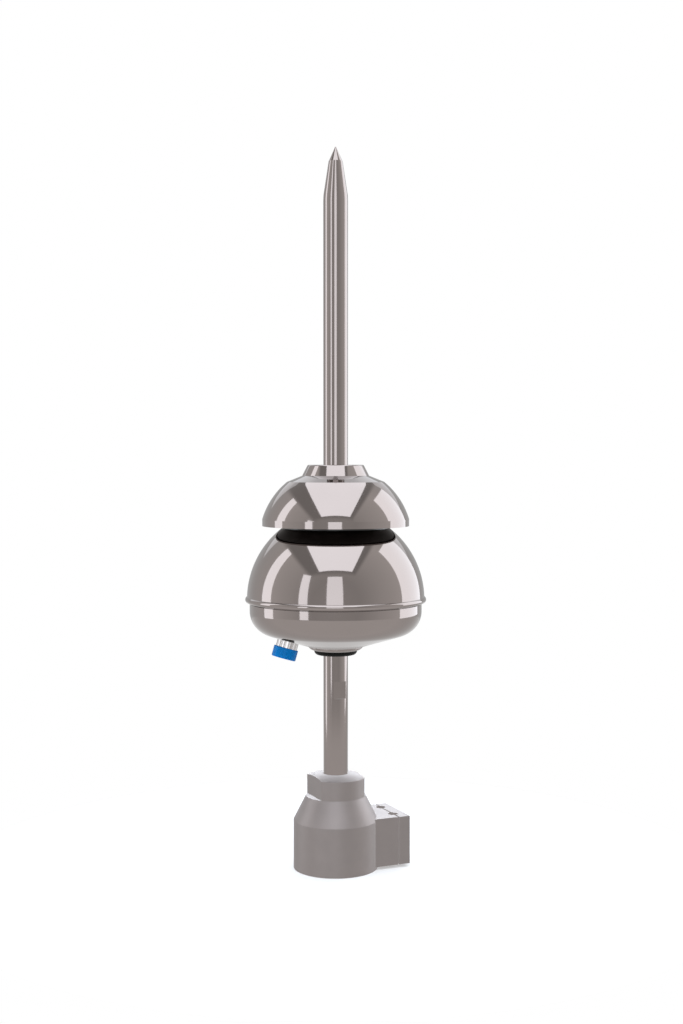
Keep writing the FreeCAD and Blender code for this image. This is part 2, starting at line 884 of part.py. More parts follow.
def transformer_core():
    """Ferrite ring of four limbs, standing on the board; the winding is on its middle limb."""
    outer = box(
        (-core_reach - core_width / 2, -core_reach + core_width / 2),
        (-core_length / 2, core_length / 2),
        (board_top, board_top + core_height),
    )
    room = (core_length - 3 * core_limb) / 2
    for side in (-1, 1):
        window = sorted((side * core_limb / 2, side * (core_limb / 2 + room)))
        outer = outer.cut(
            box(
                (-core_reach - core_width, -core_reach + core_width),
                window,
                (board_top + core_limb / 2, board_top + core_height - core_limb / 2),
            )
        )
    return outer


def transformer_winding():
    """Wound coil round the core's middle limb, kept clear of the outer limbs."""
    half_x = core_width / 2 + winding_gap
    half_y = core_limb / 2 + winding_gap
    side = (core_length - 3 * core_limb) / 2 - 2 * winding_gap
    low = board_top + core_limb / 2 + winding_gap
    high = board_top + core_height - core_limb / 2 - winding_gap
    coil = box(
        (-core_reach - winding_diameter / 2, -core_reach + winding_diameter / 2),
        (-half_y - side, half_y + side),
        (low, high),
    )
    across = (-core_reach - half_x, -core_reach + half_x)
    opening = box(across, (-half_y, half_y), (low - cut_margin, high + cut_margin))
    corners = [edge for edge in coil.Edges if abs(edge.tangentAt(edge.FirstParameter).z) > 0.9]
    return coil.makeFillet(side / 2, corners).cut(opening)


def surge_arrester():
    """Ceramic gas tube with a metal cap at each end, lying on the board."""
    end = arrester_cap_diameter / 2
    half = arrester_length / 2
    body = turned(
        (0, -half),
        (end, -half),
        (end, arrester_cap_length - half),
        (arrester_diameter / 2, arrester_cap_length - half),
        (arrester_diameter / 2, half - arrester_cap_length),
        (end, half - arrester_cap_length),
        (end, half),
        (0, half),
    )
    return placed(body, FreeCAD.Vector(0, arrester_reach, board_top + end), ALONG_X)


def on_connector(shape):
    """Place a shape drawn along Z so that Z runs out of the dish, square to its slope."""
    outward = FreeCAD.Vector(-math.sin(slope), 0, -math.cos(slope))
    return placed(shape, FreeCAD.Vector(-connector_reach, 0, connector_wall_height), outward)


def connector_bore():
    return connector_thread_diameter / 2 - connector_wall


def test_socket():
    """Threaded shell of the connector: fluted ring outside the dish, nose for the cap."""
    ring = connector_ring_diameter / 2
    nose_top = connector_ring_height + connector_nose_length
    shell = turned(
        (connector_bore(), -connector_thread_length),
        (connector_thread_diameter / 2, -connector_thread_length),
        (connector_thread_diameter / 2, 0),
        (ring, 0),
        (ring, connector_ring_height),
        (connector_nose_diameter / 2, connector_ring_height),
        (connector_nose_diameter / 2, nose_top),
        (connector_bore(), nose_top),
    )
    for index in range(flute_count):
        place = around(ring + flute_offset, 360 / flute_count * (index + 0.5))
        flute = cylinder(flute_radius, -cut_margin, connector_ring_height + cut_margin, place.x, place.y)
        shell = shell.cut(flute)
    return on_connector(shell)


def pin_places():
    return [around(pin_circle / 2, 360 / pin_count * (index + 0.5)) for index in range(pin_count)]


def socket_insert():
    radius = connector_bore() - insert_clearance
    top = connector_ring_height + connector_nose_length - insert_recess
    body = cylinder(radius, -connector_thread_length, top)
    for place in pin_places():
        hole = pin_diameter / 2 + insert_clearance / 2
        bottom = -connector_thread_length - cut_margin
        body = body.cut(cylinder(hole, bottom, top + cut_margin, place.x, place.y))
    return on_connector(body)


def socket_pins():
    top = connector_ring_height + connector_nose_length - insert_recess / 3
    group = []
    for place in pin_places():
        radius = pin_diameter / 2
        pin = turned(
            (0, -connector_thread_length - pin_tail),
            (radius, -connector_thread_length - pin_tail),
            (radius, top - radius),
            (radius * math.cos(math.pi / 4), top - radius + radius * math.sin(math.pi / 4), 0, top),
        )
        pin.translate(place)
        group.append(on_connector(pin))
    return Part.makeCompound(group)


def socket_gasket():
    top = -sheet_thickness - curve_gap
    bottom = top - connector_gasket_thickness
    inner = connector_thread_diameter / 2 + slide_clearance
    return on_connector(tube(inner, connector_gasket_diameter / 2, bottom, top))


def socket_nut():
    top = -sheet_thickness - curve_gap - connector_gasket_thickness
    nut = hexagon(connector_nut_flats, connector_nut_height)
    bottom = top - connector_nut_height
    nut.translate(UP * bottom)
    hole = connector_thread_diameter / 2 + thread_clearance
    return on_connector(nut.cut(cylinder(hole, bottom - cut_margin, top + cut_margin)))


def test_cap():
    """Moulded cap over the connector's nose, closed at its outer end."""
    inner = connector_nose_diameter / 2 + slide_clearance
    outer = inner + cap_wall
    start = connector_ring_height
    inner_end = start + connector_nose_length + slide_clearance
    end = start + cap_height
    via = on_arc(outer - cap_round, end - cap_round, cap_round, math.pi / 4)
    return on_connector(
        turned(
            (inner, start),
            (outer - cap_round / 3, start),
            (outer, start + cap_round / 3),
            (outer, end - cap_round),
            (*via, outer - cap_round, end),
            (0, end),
            (0, inner_end),
            (inner, inner_end),
        )
    )


SUB_PARTS = {
    "tip_rod": tip_rod,
    "top_collar": top_collar,
    "collar_set_screw": collar_set_screw,
    "upper_cap": upper_cap,
    "upper_insulator": upper_insulator,
    "housing_dome": housing_dome,
    "seam_gasket": seam_gasket,
    "housing_dish": housing_dish,
    "bottom_flange": bottom_flange,
    "bottom_insulator": bottom_insulator,
    "insulator_nut": insulator_nut,
    "shaft": shaft,
    "shoulder_washer": shoulder_washer,
    "base_plate": base_plate,
    "base_pillars": base_pillars,
    "base_screws": base_screws,
    "insulating_sleeve": insulating_sleeve,
    "circuit_board": circuit_board,
    "board_spacers": board_spacers,
    "board_screws": board_screws,
    "storage_capacitors": storage_capacitors,
    "transformer_core": transformer_core,
    "transformer_winding": transformer_winding,
    "surge_arrester": surge_arrester,
    "test_socket": test_socket,
    "socket_insert": socket_insert,
    "socket_pins": socket_pins,
    "socket_gasket": socket_gasket,
    "socket_nut": socket_nut,
    "test_cap": test_cap,
    "mast_adaptor": mast_adaptor,
    "clamp_plate": clamp_plate,
    "clamp_screws": clamp_screws,
    "clamp_washers": clamp_washers,
    "mast_set_screws": mast_set_screws,
}

os.makedirs("parts", exist_ok=True)
for name, make in SUB_PARTS.items():
    shape = make()
    shape.exportStep("parts/" + name + ".step")
    print(name, "solids", len(shape.Solids), "valid", shape.isValid(), "volume", round(shape.Volume, 1))
print("height", round(rod_seat + rod_length, 2))
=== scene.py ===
# %% [markdown]
# # A lightning rod with an insulated head
#
# The real object is an air terminal: a pointed stainless steel rod over a round
# housing, carried by a shaft in a cast adaptor that sits on a tube mast. All its
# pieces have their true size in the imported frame, which this lesson loads first.
# Here they get what a camera sees: mirror-smooth turned and spun surfaces, the
# finish of every piece, the screws' threads, the studio and the camera.

# %% Load the frame
import json
import math

import bmesh
import bpy
from mathutils import Matrix, Vector


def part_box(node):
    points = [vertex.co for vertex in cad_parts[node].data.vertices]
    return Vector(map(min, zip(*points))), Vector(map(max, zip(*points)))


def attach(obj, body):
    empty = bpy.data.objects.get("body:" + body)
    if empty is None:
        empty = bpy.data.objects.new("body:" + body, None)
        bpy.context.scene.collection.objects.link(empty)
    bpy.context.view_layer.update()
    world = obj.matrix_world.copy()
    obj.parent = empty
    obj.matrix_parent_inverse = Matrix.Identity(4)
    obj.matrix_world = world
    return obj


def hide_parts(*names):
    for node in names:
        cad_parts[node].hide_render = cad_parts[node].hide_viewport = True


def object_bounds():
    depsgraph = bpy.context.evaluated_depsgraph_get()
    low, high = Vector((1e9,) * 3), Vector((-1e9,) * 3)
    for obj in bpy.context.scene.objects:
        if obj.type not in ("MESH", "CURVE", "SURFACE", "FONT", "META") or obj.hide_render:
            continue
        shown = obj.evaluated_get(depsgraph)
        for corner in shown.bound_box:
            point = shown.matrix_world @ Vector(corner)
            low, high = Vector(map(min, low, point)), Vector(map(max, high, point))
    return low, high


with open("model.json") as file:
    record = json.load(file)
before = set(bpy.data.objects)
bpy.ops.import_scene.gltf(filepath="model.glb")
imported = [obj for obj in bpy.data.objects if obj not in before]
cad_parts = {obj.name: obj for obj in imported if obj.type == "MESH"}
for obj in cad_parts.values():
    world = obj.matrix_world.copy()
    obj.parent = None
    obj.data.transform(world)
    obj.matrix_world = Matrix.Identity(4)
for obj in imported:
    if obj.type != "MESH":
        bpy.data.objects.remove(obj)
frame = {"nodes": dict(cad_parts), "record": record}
cad_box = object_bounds()
nodes = frame["nodes"]
record = frame["record"]
MM = 0.001
BODY = "root"
print(len(nodes), "nodes, height", round(cad_box[1][2] - cad_box[0][2], 4), "m")

# %% [markdown]
# ## Where the photographer stood
#
# The picture was taken from a little above the middle, with a normal lens about
# a metre away. A long lens from afar would fit the outline too, but then the rims
# of cap, dome and dish would all look equally open, and they don't. The long side
# of the picture is its height, so the sensor's long side covers the height. The
# camera turns a hair to the right, which puts the rod a few pixels left of the
# middle.

# %% Camera
def new_object(name, data):
    """Put a mesh, a light or a camera into the scene as an object at the origin."""
    item = bpy.data.objects.new(name, data)
    bpy.context.scene.collection.objects.link(item)
    return item


CAMERA_AZIMUTH = math.radians(-23.0)
CAMERA_DISTANCE = 1.156
CAMERA_HEIGHT = 0.3357
CAMERA_PITCH = math.radians(-2.2)
CAMERA_YAW = math.radians(-0.235)
LENS = 50.0
SENSOR = 36.0

toward_camera = Vector((math.sin(CAMERA_AZIMUTH), -math.cos(CAMERA_AZIMUTH), 0.0))
to_the_right = Vector((math.cos(CAMERA_AZIMUTH), math.sin(CAMERA_AZIMUTH), 0.0))
up = Vector((0.0, 0.0, 1.0))

camera_data = bpy.data.cameras.new("camera")
camera_data.lens = LENS
camera_data.sensor_width = SENSOR
camera = new_object("camera", camera_data)
camera.location = toward_camera * CAMERA_DISTANCE + up * CAMERA_HEIGHT
camera.rotation_euler = (math.radians(90.0) + CAMERA_PITCH, 0.0, CAMERA_AZIMUTH + CAMERA_YAW)
bpy.context.scene.camera = camera
print("camera at", [round(c, 3) for c in camera.location])

# %% [markdown]
# ## One helper for every node tree
#
# Materials, the background and the Geometry Nodes trees are all made of nodes.
# They could be drawn in the node editor, or with a few lines for each node. One
# small function for all of them is shorter and shows the tree's shape: it adds a
# node, sets its own properties and fills its inputs with numbers or with links.

# %% Node and colour helpers
def add(tree, kind, inputs=None, **settings):
    """Add a node, with its settings and its inputs.

    An input takes a number, a colour, an output socket or a node, whose first output
    is linked. A list links each of its items to an input that joins several.
    """
    node = tree.nodes.new(kind)
    for name, value in settings.items():
        setattr(node, name, value)
    for key, value in (inputs or {}).items():
        for item in value if isinstance(value, list) else [value]:
            if isinstance(item, bpy.types.Node):
                item = item.outputs[0]
            if isinstance(item, bpy.types.NodeSocket):
                tree.links.new(item, node.inputs[key])
            else:
                node.inputs[key].default_value = item
    return node


def linear(hex_colour):
    """An sRGB hex colour such as 8c8380 as linear RGBA."""
    channels = []
    for start in (0, 2, 4):
        value = int(hex_colour[start:start + 2], 16) / 255.0
        channels.append(value / 12.92 if value <= 0.04045 else ((value + 0.055) / 1.055) ** 2.4)
    return (*channels, 1.0)


print("mid grey is", [round(c, 3) for c in linear("808080")])

# %% [markdown]
# ## The studio
#
# Polished steel shows the room more than itself. A photographed studio could be
# wrapped round the object, but a drawn room needs no picture and lets each wall be
# set by itself. The highlights tell its shape: pale walls that are brightest at
# both sides, a greyer ceiling, and a pale floor. The camera sees plain white.

# %% Pale room
PALE = linear("ffffff")
# How far the walls and the ceiling are, measured against the right wall
RIGHT_WALL = 1.0
LEFT_WALL = 1.39
FRONT_WALL = 1.79
CEILING_RISE = 1.43
# Angle round from the camera's side in degrees, and the walls' shade there
WALL_SHADES = ((180, 0.50), (150, 0.77), (120, 1.10), (90, 1.32), (60, 1.10), (30, 0.86), (0, 0.90))
BRIGHTEST_WALL = 1.5
CEILING_SHADE = 0.62
CEILING_EDGE = (-0.06, 0.04)
# The floor is darker behind the object and reaches its full shade beside it
FLOOR_SHADE = 1.32
FAR_FLOOR_SHADE = 0.90
BESIDE = 0.5
FLOOR_SLOPE = math.sin(math.radians(-10.6))
FLOOR_EDGE = 0.02
# What the matt pieces get of the room's light
SOFT_FILL = 0.30


def room_shade(tree):
    """Brightness of the room in a direction: walls, ceiling and floor.

    A direction meets the wall or the ceiling whose share of the direction is largest.
    The ramp has a step at each end already, which take the first and the last shade.
    """
    world_direction = add(tree, "ShaderNodeTexCoord").outputs["Generated"]
    turned_direction = add(tree, "ShaderNodeVectorRotate", {
        "Vector": world_direction, "Axis": (0.0, 0.0, 1.0), "Angle": -CAMERA_AZIMUTH,
    })
    axes = add(tree, "ShaderNodeSeparateXYZ", {0: turned_direction})
    right = add(tree, "ShaderNodeMath", {0: axes.outputs["X"], 1: RIGHT_WALL}, operation="DIVIDE")
    left = add(tree, "ShaderNodeMath", {0: axes.outputs["X"], 1: -LEFT_WALL}, operation="DIVIDE")
    distance = add(tree, "ShaderNodeMath", {0: axes.outputs["Y"]}, operation="ABSOLUTE")
    front = add(tree, "ShaderNodeMath", {0: distance, 1: FRONT_WALL}, operation="DIVIDE")
    top = add(tree, "ShaderNodeMath", {0: axes.outputs["Z"], 1: CEILING_RISE}, operation="DIVIDE")
    side = add(tree, "ShaderNodeMath", {0: right, 1: left}, operation="MAXIMUM")
    wall = add(tree, "ShaderNodeMath", {0: side, 1: front}, operation="MAXIMUM")
    nearness = add(tree, "ShaderNodeMapRange", {
        "Value": axes.outputs["Y"], "From Min": 1.0, "From Max": -1.0,
    })
    ramp = add(tree, "ShaderNodeValToRGB", {"Fac": nearness})
    steps = ramp.color_ramp.elements
    for angle, shade in WALL_SHADES:
        position = (1.0 + math.cos(math.radians(angle))) / 2
        inside = 0.0 < position < 1.0
        step = steps.new(position) if inside else steps[0 if position < 0.5 else len(steps) - 1]
        step.color = (*[shade / BRIGHTEST_WALL] * 3, 1.0)
    wall_shade = add(tree, "ShaderNodeMath", {
        0: ramp.outputs["Color"], 1: BRIGHTEST_WALL}, operation="MULTIPLY")
    over_wall = add(tree, "ShaderNodeMath", {0: top, 1: wall}, operation="SUBTRACT")
    under_ceiling = add(tree, "ShaderNodeMapRange", {
        "Value": over_wall, "From Min": CEILING_EDGE[0], "From Max": CEILING_EDGE[1],
        "To Min": wall_shade, "To Max": CEILING_SHADE,
    }, interpolation_type="SMOOTHSTEP")
    floor_shade = add(tree, "ShaderNodeMapRange", {
        "Value": nearness, "From Max": BESIDE,
        "To Min": FAR_FLOOR_SHADE, "To Max": FLOOR_SHADE,
    })
    below = add(tree, "ShaderNodeMapRange", {
        "Value": axes.outputs["Z"],
        "From Min": FLOOR_SLOPE - FLOOR_EDGE, "From Max": FLOOR_SLOPE + FLOOR_EDGE,
        "To Min": floor_shade, "To Max": under_ceiling,
    }, interpolation_type="SMOOTHSTEP")
    return below.outputs[0]


world = bpy.data.worlds.new("pale_room")
world.use_nodes = True
tree = world.node_tree
tree.nodes.clear()
path = add(tree, "ShaderNodeLightPath")
gloss_or_glass = add(tree, "ShaderNodeMath", {
    0: path.outputs["Is Glossy Ray"],
    1: path.outputs["Is Transmission Ray"],
}, operation="MAXIMUM")
reflected = add(tree, "ShaderNodeMix", {
    "Factor": gloss_or_glass, 2: SOFT_FILL, 3: room_shade(tree),
})
strength = add(tree, "ShaderNodeMix", {
    "Factor": path.outputs["Is Camera Ray"], 2: reflected, 3: 1.0,
})
background = add(tree, "ShaderNodeBackground", {"Color": PALE, "Strength": strength})
add(tree, "ShaderNodeOutputWorld", {"Surface": background})
bpy.context.scene.world = world
bpy.context.scene.view_settings.view_transform = "Standard"
print("the room has", len(WALL_SHADES), "wall shades and", len(tree.nodes), "nodes")

# %% [markdown]
# ### Soft panels
#
# The white shapes with hard edges on the steel are mirror images of softboxes.
# They could be glowing planes, but area lights give the same image and light the
# matt pieces with less noise. Each hangs on a wall or on the ceiling, and its
# place is an angle seen from the middle of the head, as the highlight shows it.
# One more panel reaches the cast pieces alone, because their satin skin would be
# too dark beside the mirrors.

# %% Panels as area lights
HEAD_HEIGHT = 0.25
WALL = 8.0
PANEL_COLOUR = linear("eff6ff")[:3]


def panel(name, brightness, centre, facing, width, height):
    """An evenly bright rectangle. Its centre is given as right, toward the camera, up.

    A lamp points down by itself, so one on the ceiling only turns with the camera.
    """
    light = bpy.data.lights.new(name, "AREA")
    light.shape = "RECTANGLE"
    light.size = width
    light.size_y = height
    light.color = PANEL_COLOUR
    light.energy = brightness * math.pi * width * height
    lamp = new_object(name, light)
    right, toward, above = centre
    lamp.location = to_the_right * right + toward_camera * toward + up * (HEAD_HEIGHT + above)
    lamp.rotation_euler = facing.to_track_quat("-Z", "Y").to_euler()
    if facing == -up:
        lamp.rotation_euler = (0.0, 0.0, CAMERA_AZIMUTH)
    lamp.visible_camera = False
    print(name, round(width, 2), "x", round(height, 2), "m")
    return lamp


def upright_panel(name, brightness, first, last, foot, top, wall_angle):
    """An upright panel on a wall square to wall_angle, between two angles, up to a slope.

    Angles go round from the camera's side, to the right of it when positive.
    The foot and the top are angles above the horizon where the wall is nearest.
    """
    low = WALL * math.tan(math.radians(first - wall_angle))
    high = WALL * math.tan(math.radians(last - wall_angle))
    bottom = WALL * math.tan(math.radians(foot))
    height = WALL * math.tan(math.radians(top)) - bottom
    turn = math.radians(wall_angle)
    middle = (low + high) / 2
    right = WALL * math.sin(turn) + middle * math.cos(turn)
    toward = WALL * math.cos(turn) - middle * math.sin(turn)
    facing = -(to_the_right * math.sin(turn) + toward_camera * math.cos(turn))
    centre = (right, toward, bottom + height / 2)
    return panel(name, brightness, centre, facing, high - low, height)


def light_only(lamp, names):
    """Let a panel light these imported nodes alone."""
    lit = bpy.data.collections.new(lamp.name)
    for name in names:
        lit.objects.link(nodes[name])
    lamp.light_linking.receiver_collection = lit


# %% Panels of this studio
UPRIGHT_PANELS = (
    # name, brightness, first and last angle, foot and top, angle of its wall
    ("front_panel", 2.44, -11.5, 9.5, -4.0, 33.0, 0.0),
    ("narrow_panel", 2.6, -48.0, -36.0, -10.0, 32.0, -42.0),
    ("left_panel", 2.54, -109.0, -91.0, -12.0, 45.0, -90.0),
    ("right_panel", 2.52, 94.0, 140.0, -11.2, 47.0, 90.0),
    ("back_panel", 0.8, 140.0, 220.0, 20.0, 48.0, 180.0),
    ("adaptor_panel", 7.0, 150.0, 210.0, 6.0, 38.0, 180.0),
)
lamps = {row[0]: upright_panel(*row) for row in UPRIGHT_PANELS}
light_only(lamps["adaptor_panel"], ("mast_adaptor", "clamp_plate"))

# The ceiling panel's front and back edge and its width, as shares of its height
CEILING = 8.0
CEILING_FRONT = 1.15
CEILING_BACK = -0.80
CEILING_WIDTH = 1.10
panel(
    "ceiling_panel", 3.28, (0.0, (CEILING_FRONT + CEILING_BACK) / 2 * CEILING, CEILING), -up,
    CEILING_WIDTH * CEILING, (CEILING_FRONT - CEILING_BACK) * CEILING,
)

# %% [markdown]
# ## The floor
#
# A round white table top stands under the mast socket. A shadow catcher would do
# for one picture, but a real surface keeps the soft shadow in any of them. Its own
# light is added for what the camera and the metal see of it, so that it meets the
# pale room without an edge. From below it is clear, so that a look from there
# shows the object's underside. The polished steel mirrors the room's own floor
# instead, because the table top's shadow would be a dark spot on the dish.

# %% White floor
FLOOR_RADIUS = 0.32
FLOOR_SIDES = 96
FLOOR_GLOW = 0.35
MOTTLES_PER_METRE = 400.0


def floor_material():
    """Matt white laminate: an even white with a hardly visible paper-fine mottle."""
    material = bpy.data.materials.new("matt_white_laminate")
    material.use_nodes = True
    tree = material.node_tree
    tree.nodes.clear()
    place = add(tree, "ShaderNodeTexCoord")
    mottle = add(tree, "ShaderNodeTexNoise", {
        "Vector": place.outputs["Object"], "Scale": MOTTLES_PER_METRE,
    })
    white = add(tree, "ShaderNodeMix", {
        "Factor": mottle.outputs["Fac"],
        6: linear("c8c8c8"),
        7: linear("cecece"),
    }, data_type="RGBA")
    path = add(tree, "ShaderNodeLightPath")
    camera_or_gloss = add(tree, "ShaderNodeMath", {
        0: path.outputs["Is Camera Ray"],
        1: path.outputs["Is Glossy Ray"],
    }, operation="MAXIMUM")
    seen = add(tree, "ShaderNodeMath", {
        0: camera_or_gloss,
        1: path.outputs["Is Transmission Ray"],
    }, operation="MAXIMUM")
    glow = add(tree, "ShaderNodeMath", {0: seen, 1: FLOOR_GLOW}, operation="MULTIPLY")
    surface = add(tree, "ShaderNodeBsdfPrincipled", {
        "Base Color": white.outputs[2],
        "Roughness": 0.9,
        "Specular IOR Level": 0.0,
        "Emission Color": PALE,
        "Emission Strength": glow,
    })
    from_below = add(tree, "ShaderNodeNewGeometry").outputs["Backfacing"]
    clear = add(tree, "ShaderNodeBsdfTransparent")
    shown = add(tree, "ShaderNodeMixShader", {0: from_below, 1: surface, 2: clear})
    add(tree, "ShaderNodeOutputMaterial", {"Surface": shown})
    return material


def floor_disc():
    """The table top: one flat round face at the object's foot."""
    ring = []
    for side in range(FLOOR_SIDES):
        turn = 2 * math.pi * side / FLOOR_SIDES
        ring.append((FLOOR_RADIUS * math.cos(turn), FLOOR_RADIUS * math.sin(turn), cad_box[0][2]))
    mesh = bpy.data.meshes.new("floor")
    mesh.from_pydata(ring, [], [list(range(FLOOR_SIDES))])
    floor = new_object("floor", mesh)
    mesh.materials.append(floor_material())
    floor.visible_glossy = False
    print("floor of", FLOOR_RADIUS * 2, "m across at z =", round(cad_box[0][2], 5))


floor_disc()

# %% [markdown]
# ## The finishes
#
# Every finish starts from what the real piece is made of. Scanned textures would
# need pictures and an unwrapped surface, so the patterns are noise, drawn on Object
# coordinates, whose unit is a metre: a mark 0.5 mm wide needs a scale of 1 / 0.0005.
# All pieces keep their place in their mesh, which keeps the pattern still on them.

# %% A start for every material
def new_material(name):
    """An empty material, its tree, and the point on the object to draw with."""
    material = bpy.data.materials.new(name)
    material.use_nodes = True
    tree = material.node_tree
    tree.nodes.clear()
    return material, tree, add(tree, "ShaderNodeTexCoord").outputs["Object"]


def with_surface(material, inputs):
    """The material with one Principled surface that has these inputs."""
    surface = add(material.node_tree, "ShaderNodeBsdfPrincipled", inputs)
    add(material.node_tree, "ShaderNodeOutputMaterial", {"Surface": surface})
    return material


def per_metre(millimetres):
    """Pattern scale of a texture whose features are this many millimetres wide."""
    return 1.0 / (millimetres * MM)


print("marks 0.5 mm wide have a pattern scale of", per_metre(0.5))

# %% [markdown]
# ### Buffed stainless steel
#
# Stainless steel that is turned or spun and then buffed is a mirror. Two things
# are left of the work: a hardly visible unevenness of the gloss, a few centimetres
# wide, and hair-fine rings from the lathe that run round the axis. The rings could
# be grooves, but at this gloss a change of roughness is all that shows of them.
# They are drawn 0.3 mm apart, coarser than real ones, so that a camera finds them.

# %% Buffed stainless steel
DULL_FADE = 14.0
DULL_ROUGHNESS = 0.32
GLOSS_NOISE = (0.1, 0.45)


def buffed_stainless(name, least, most, dull_radius_mm=0.0):
    """Mirror-buffed stainless steel: a grey-brown mirror of the pale room.

    Its roughness goes from least to most. Closer to the axis than the dull radius,
    where no buffing wheel reaches, the surface stays as dull as it was spun.
    """
    material, tree, place = new_material(name)
    rings = add(tree, "ShaderNodeMapping", {
        "Vector": place,
        "Scale": (per_metre(40.0), per_metre(40.0), per_metre(0.3)),
    })
    marks = add(tree, "ShaderNodeTexNoise", {"Vector": rings, "Scale": 1.0, "Detail": 2.0})
    clouds = add(tree, "ShaderNodeTexNoise", {
        "Vector": place, "Scale": per_metre(30.0), "Detail": 2.0,
    })
    gloss = add(tree, "ShaderNodeMath", {
        0: marks.outputs["Fac"], 1: clouds.outputs["Fac"],
    }, operation="MULTIPLY")
    buffed = add(tree, "ShaderNodeMapRange", {
        "Value": gloss, "From Min": GLOSS_NOISE[0], "From Max": GLOSS_NOISE[1],
        "To Min": least, "To Max": most,
    })
    level = add(tree, "ShaderNodeVectorMath", {0: place, 1: (1.0, 1.0, 0.0)}, operation="MULTIPLY")
    radius = add(tree, "ShaderNodeVectorMath", {0: level}, operation="LENGTH")
    roughness = add(tree, "ShaderNodeMapRange", {
        "Value": radius.outputs["Value"],
        "From Min": dull_radius_mm * MM, "From Max": (dull_radius_mm + DULL_FADE) * MM,
        "To Min": DULL_ROUGHNESS if dull_radius_mm else most,
        "To Max": buffed,
    }, interpolation_type="SMOOTHSTEP")
    colour = add(tree, "ShaderNodeMix", {
        "Factor": clouds.outputs["Fac"], 6: linear("7c7471"), 7: linear("807875"),
    }, data_type="RGBA")
    return with_surface(material, {
        "Metallic": 1.0, "Base Color": colour.outputs[2], "Roughness": roughness,
    })


POLISHED = buffed_stainless("buffed_stainless_steel", 0.05, 0.075)
# The dish and its ring are buffed too, but their middle, between shaft and
# connector, is left pale and dull.
DISH_FINISH = buffed_stainless("spun_stainless_dish", 0.05, 0.075, 26.0)
print(POLISHED.name, "and", DISH_FINISH.name)

# %% [markdown]
# ### Cast steel
#
# The adaptor is cast and then blasted with fine grit. The skin scatters the
# highlights over the whole piece and has a grain of about half a millimetre. It
# is far too fine to model, so a bump turns the light instead.

# %% Blasted cast steel
def blasted_cast_steel():
    """Grit-blasted stainless casting: an even satin grey with a fine grain."""
    material, tree, place = new_material("blasted_cast_stainless")
    grain = add(tree, "ShaderNodeTexNoise", {
        "Vector": place, "Scale": per_metre(0.5), "Detail": 3.0, "Roughness": 0.6,
    })
    clouds = add(tree, "ShaderNodeTexNoise", {
        "Vector": place, "Scale": per_metre(12.0), "Detail": 3.0,
    })
    colour = add(tree, "ShaderNodeMix", {
        "Factor": clouds.outputs["Fac"], 6: linear("797371"), 7: linear("817a78"),
    }, data_type="RGBA")
    roughness = add(tree, "ShaderNodeMapRange", {
        "Value": grain.outputs["Fac"], "To Min": 0.45, "To Max": 0.55,
    })
    bump = add(tree, "ShaderNodeBump", {
        "Height": grain.outputs["Fac"], "Distance": 0.02 * MM, "Strength": 0.6,
    })
    return with_surface(material, {
        "Metallic": 1.0, "Base Color": colour.outputs[2], "Roughness": roughness, "Normal": bump,
    })


CAST = blasted_cast_steel()
print(CAST.name)

# %% [markdown]
# ### Fasteners
#
# Screws, washers and pillars are plain stainless too, but left as the machine made
# them: rougher than the housing, with short drawn marks. The housing's finish
# would do from afar, but it would turn each screw head into a small mirror.

# %% Machined fasteners
def machined_stainless():
    """Stainless fasteners as machined: a soft gloss with fine drawn marks."""
    material, tree, place = new_material("machined_stainless_fastener")
    marks = add(tree, "ShaderNodeTexNoise", {
        "Vector": place, "Scale": per_metre(0.4), "Detail": 4.0, "Distortion": 0.5,
    })
    colour = add(tree, "ShaderNodeMix", {
        "Factor": marks.outputs["Fac"], 6: linear("7d7977"), 7: linear("8d8987"),
    }, data_type="RGBA")
    roughness = add(tree, "ShaderNodeMapRange", {
        "Value": marks.outputs["Fac"], "To Min": 0.18, "To Max": 0.34,
    })
    return with_surface(material, {
        "Metallic": 1.0, "Base Color": colour.outputs[2], "Roughness": roughness,
    })


MACHINED = machined_stainless()
print(MACHINED.name)

# %% [markdown]
# ### Plastics, rubber, ceramic and laminate
#
# The non-metal pieces share one recipe: a body colour that drifts a little, a
# gloss that follows a fine grain, and a grain that can be felt. Each could have a
# tree of its own, but only their numbers differ, so one function makes them all.

# %% Moulded and pressed finishes
DRIFT = 20.0
GLOSS_SWING = 0.06


def moulded(name, dark, light, grain_mm, roughness, relief_mm, sheen=0.5):
    """A moulded, pressed or sintered finish: two near colours, a grain and its relief."""
    material, tree, place = new_material(name)
    grain = add(tree, "ShaderNodeTexNoise", {
        "Vector": place, "Scale": per_metre(grain_mm), "Detail": 3.0, "Roughness": 0.55,
    })
    drift = add(tree, "ShaderNodeTexNoise", {
        "Vector": place, "Scale": per_metre(grain_mm * DRIFT), "Detail": 2.0,
    })
    colour = add(tree, "ShaderNodeMix", {
        "Factor": drift.outputs["Fac"], 6: linear(dark), 7: linear(light),
    }, data_type="RGBA")
    gloss = add(tree, "ShaderNodeMapRange", {
        "Value": grain.outputs["Fac"],
        "To Min": roughness - GLOSS_SWING, "To Max": roughness + GLOSS_SWING,
    })
    bump = add(tree, "ShaderNodeBump", {
        "Height": grain.outputs["Fac"], "Distance": relief_mm * MM, "Strength": 0.7,
    })
    return with_surface(material, {
        "Specular IOR Level": sheen, "Base Color": colour.outputs[2], "Roughness": gloss,
        "Normal": bump,
    })


# The bush is of the same nylon as the insulator, with a duller skin from the mould.
# Its colour is painted darker than the insulator's, as painted shade, almost black.
BUSH_PAINTED_SHADE_FINISH = moulded("black_nylon_bush_painted_shade", "151413", "1b1a19", 0.8, 0.5, 0.002, 0.05)
print(BUSH_PAINTED_SHADE_FINISH.name)

# %% [markdown]
# ### Plated and drawn metal
#
# Brass, nickel and copper parts are bright, with faint marks from drawing and
# turning. They could share the fasteners' tree, but their own colour and gloss
# tell them apart, so these are given.

# %% Plated finishes
MARK_SWING = 0.05


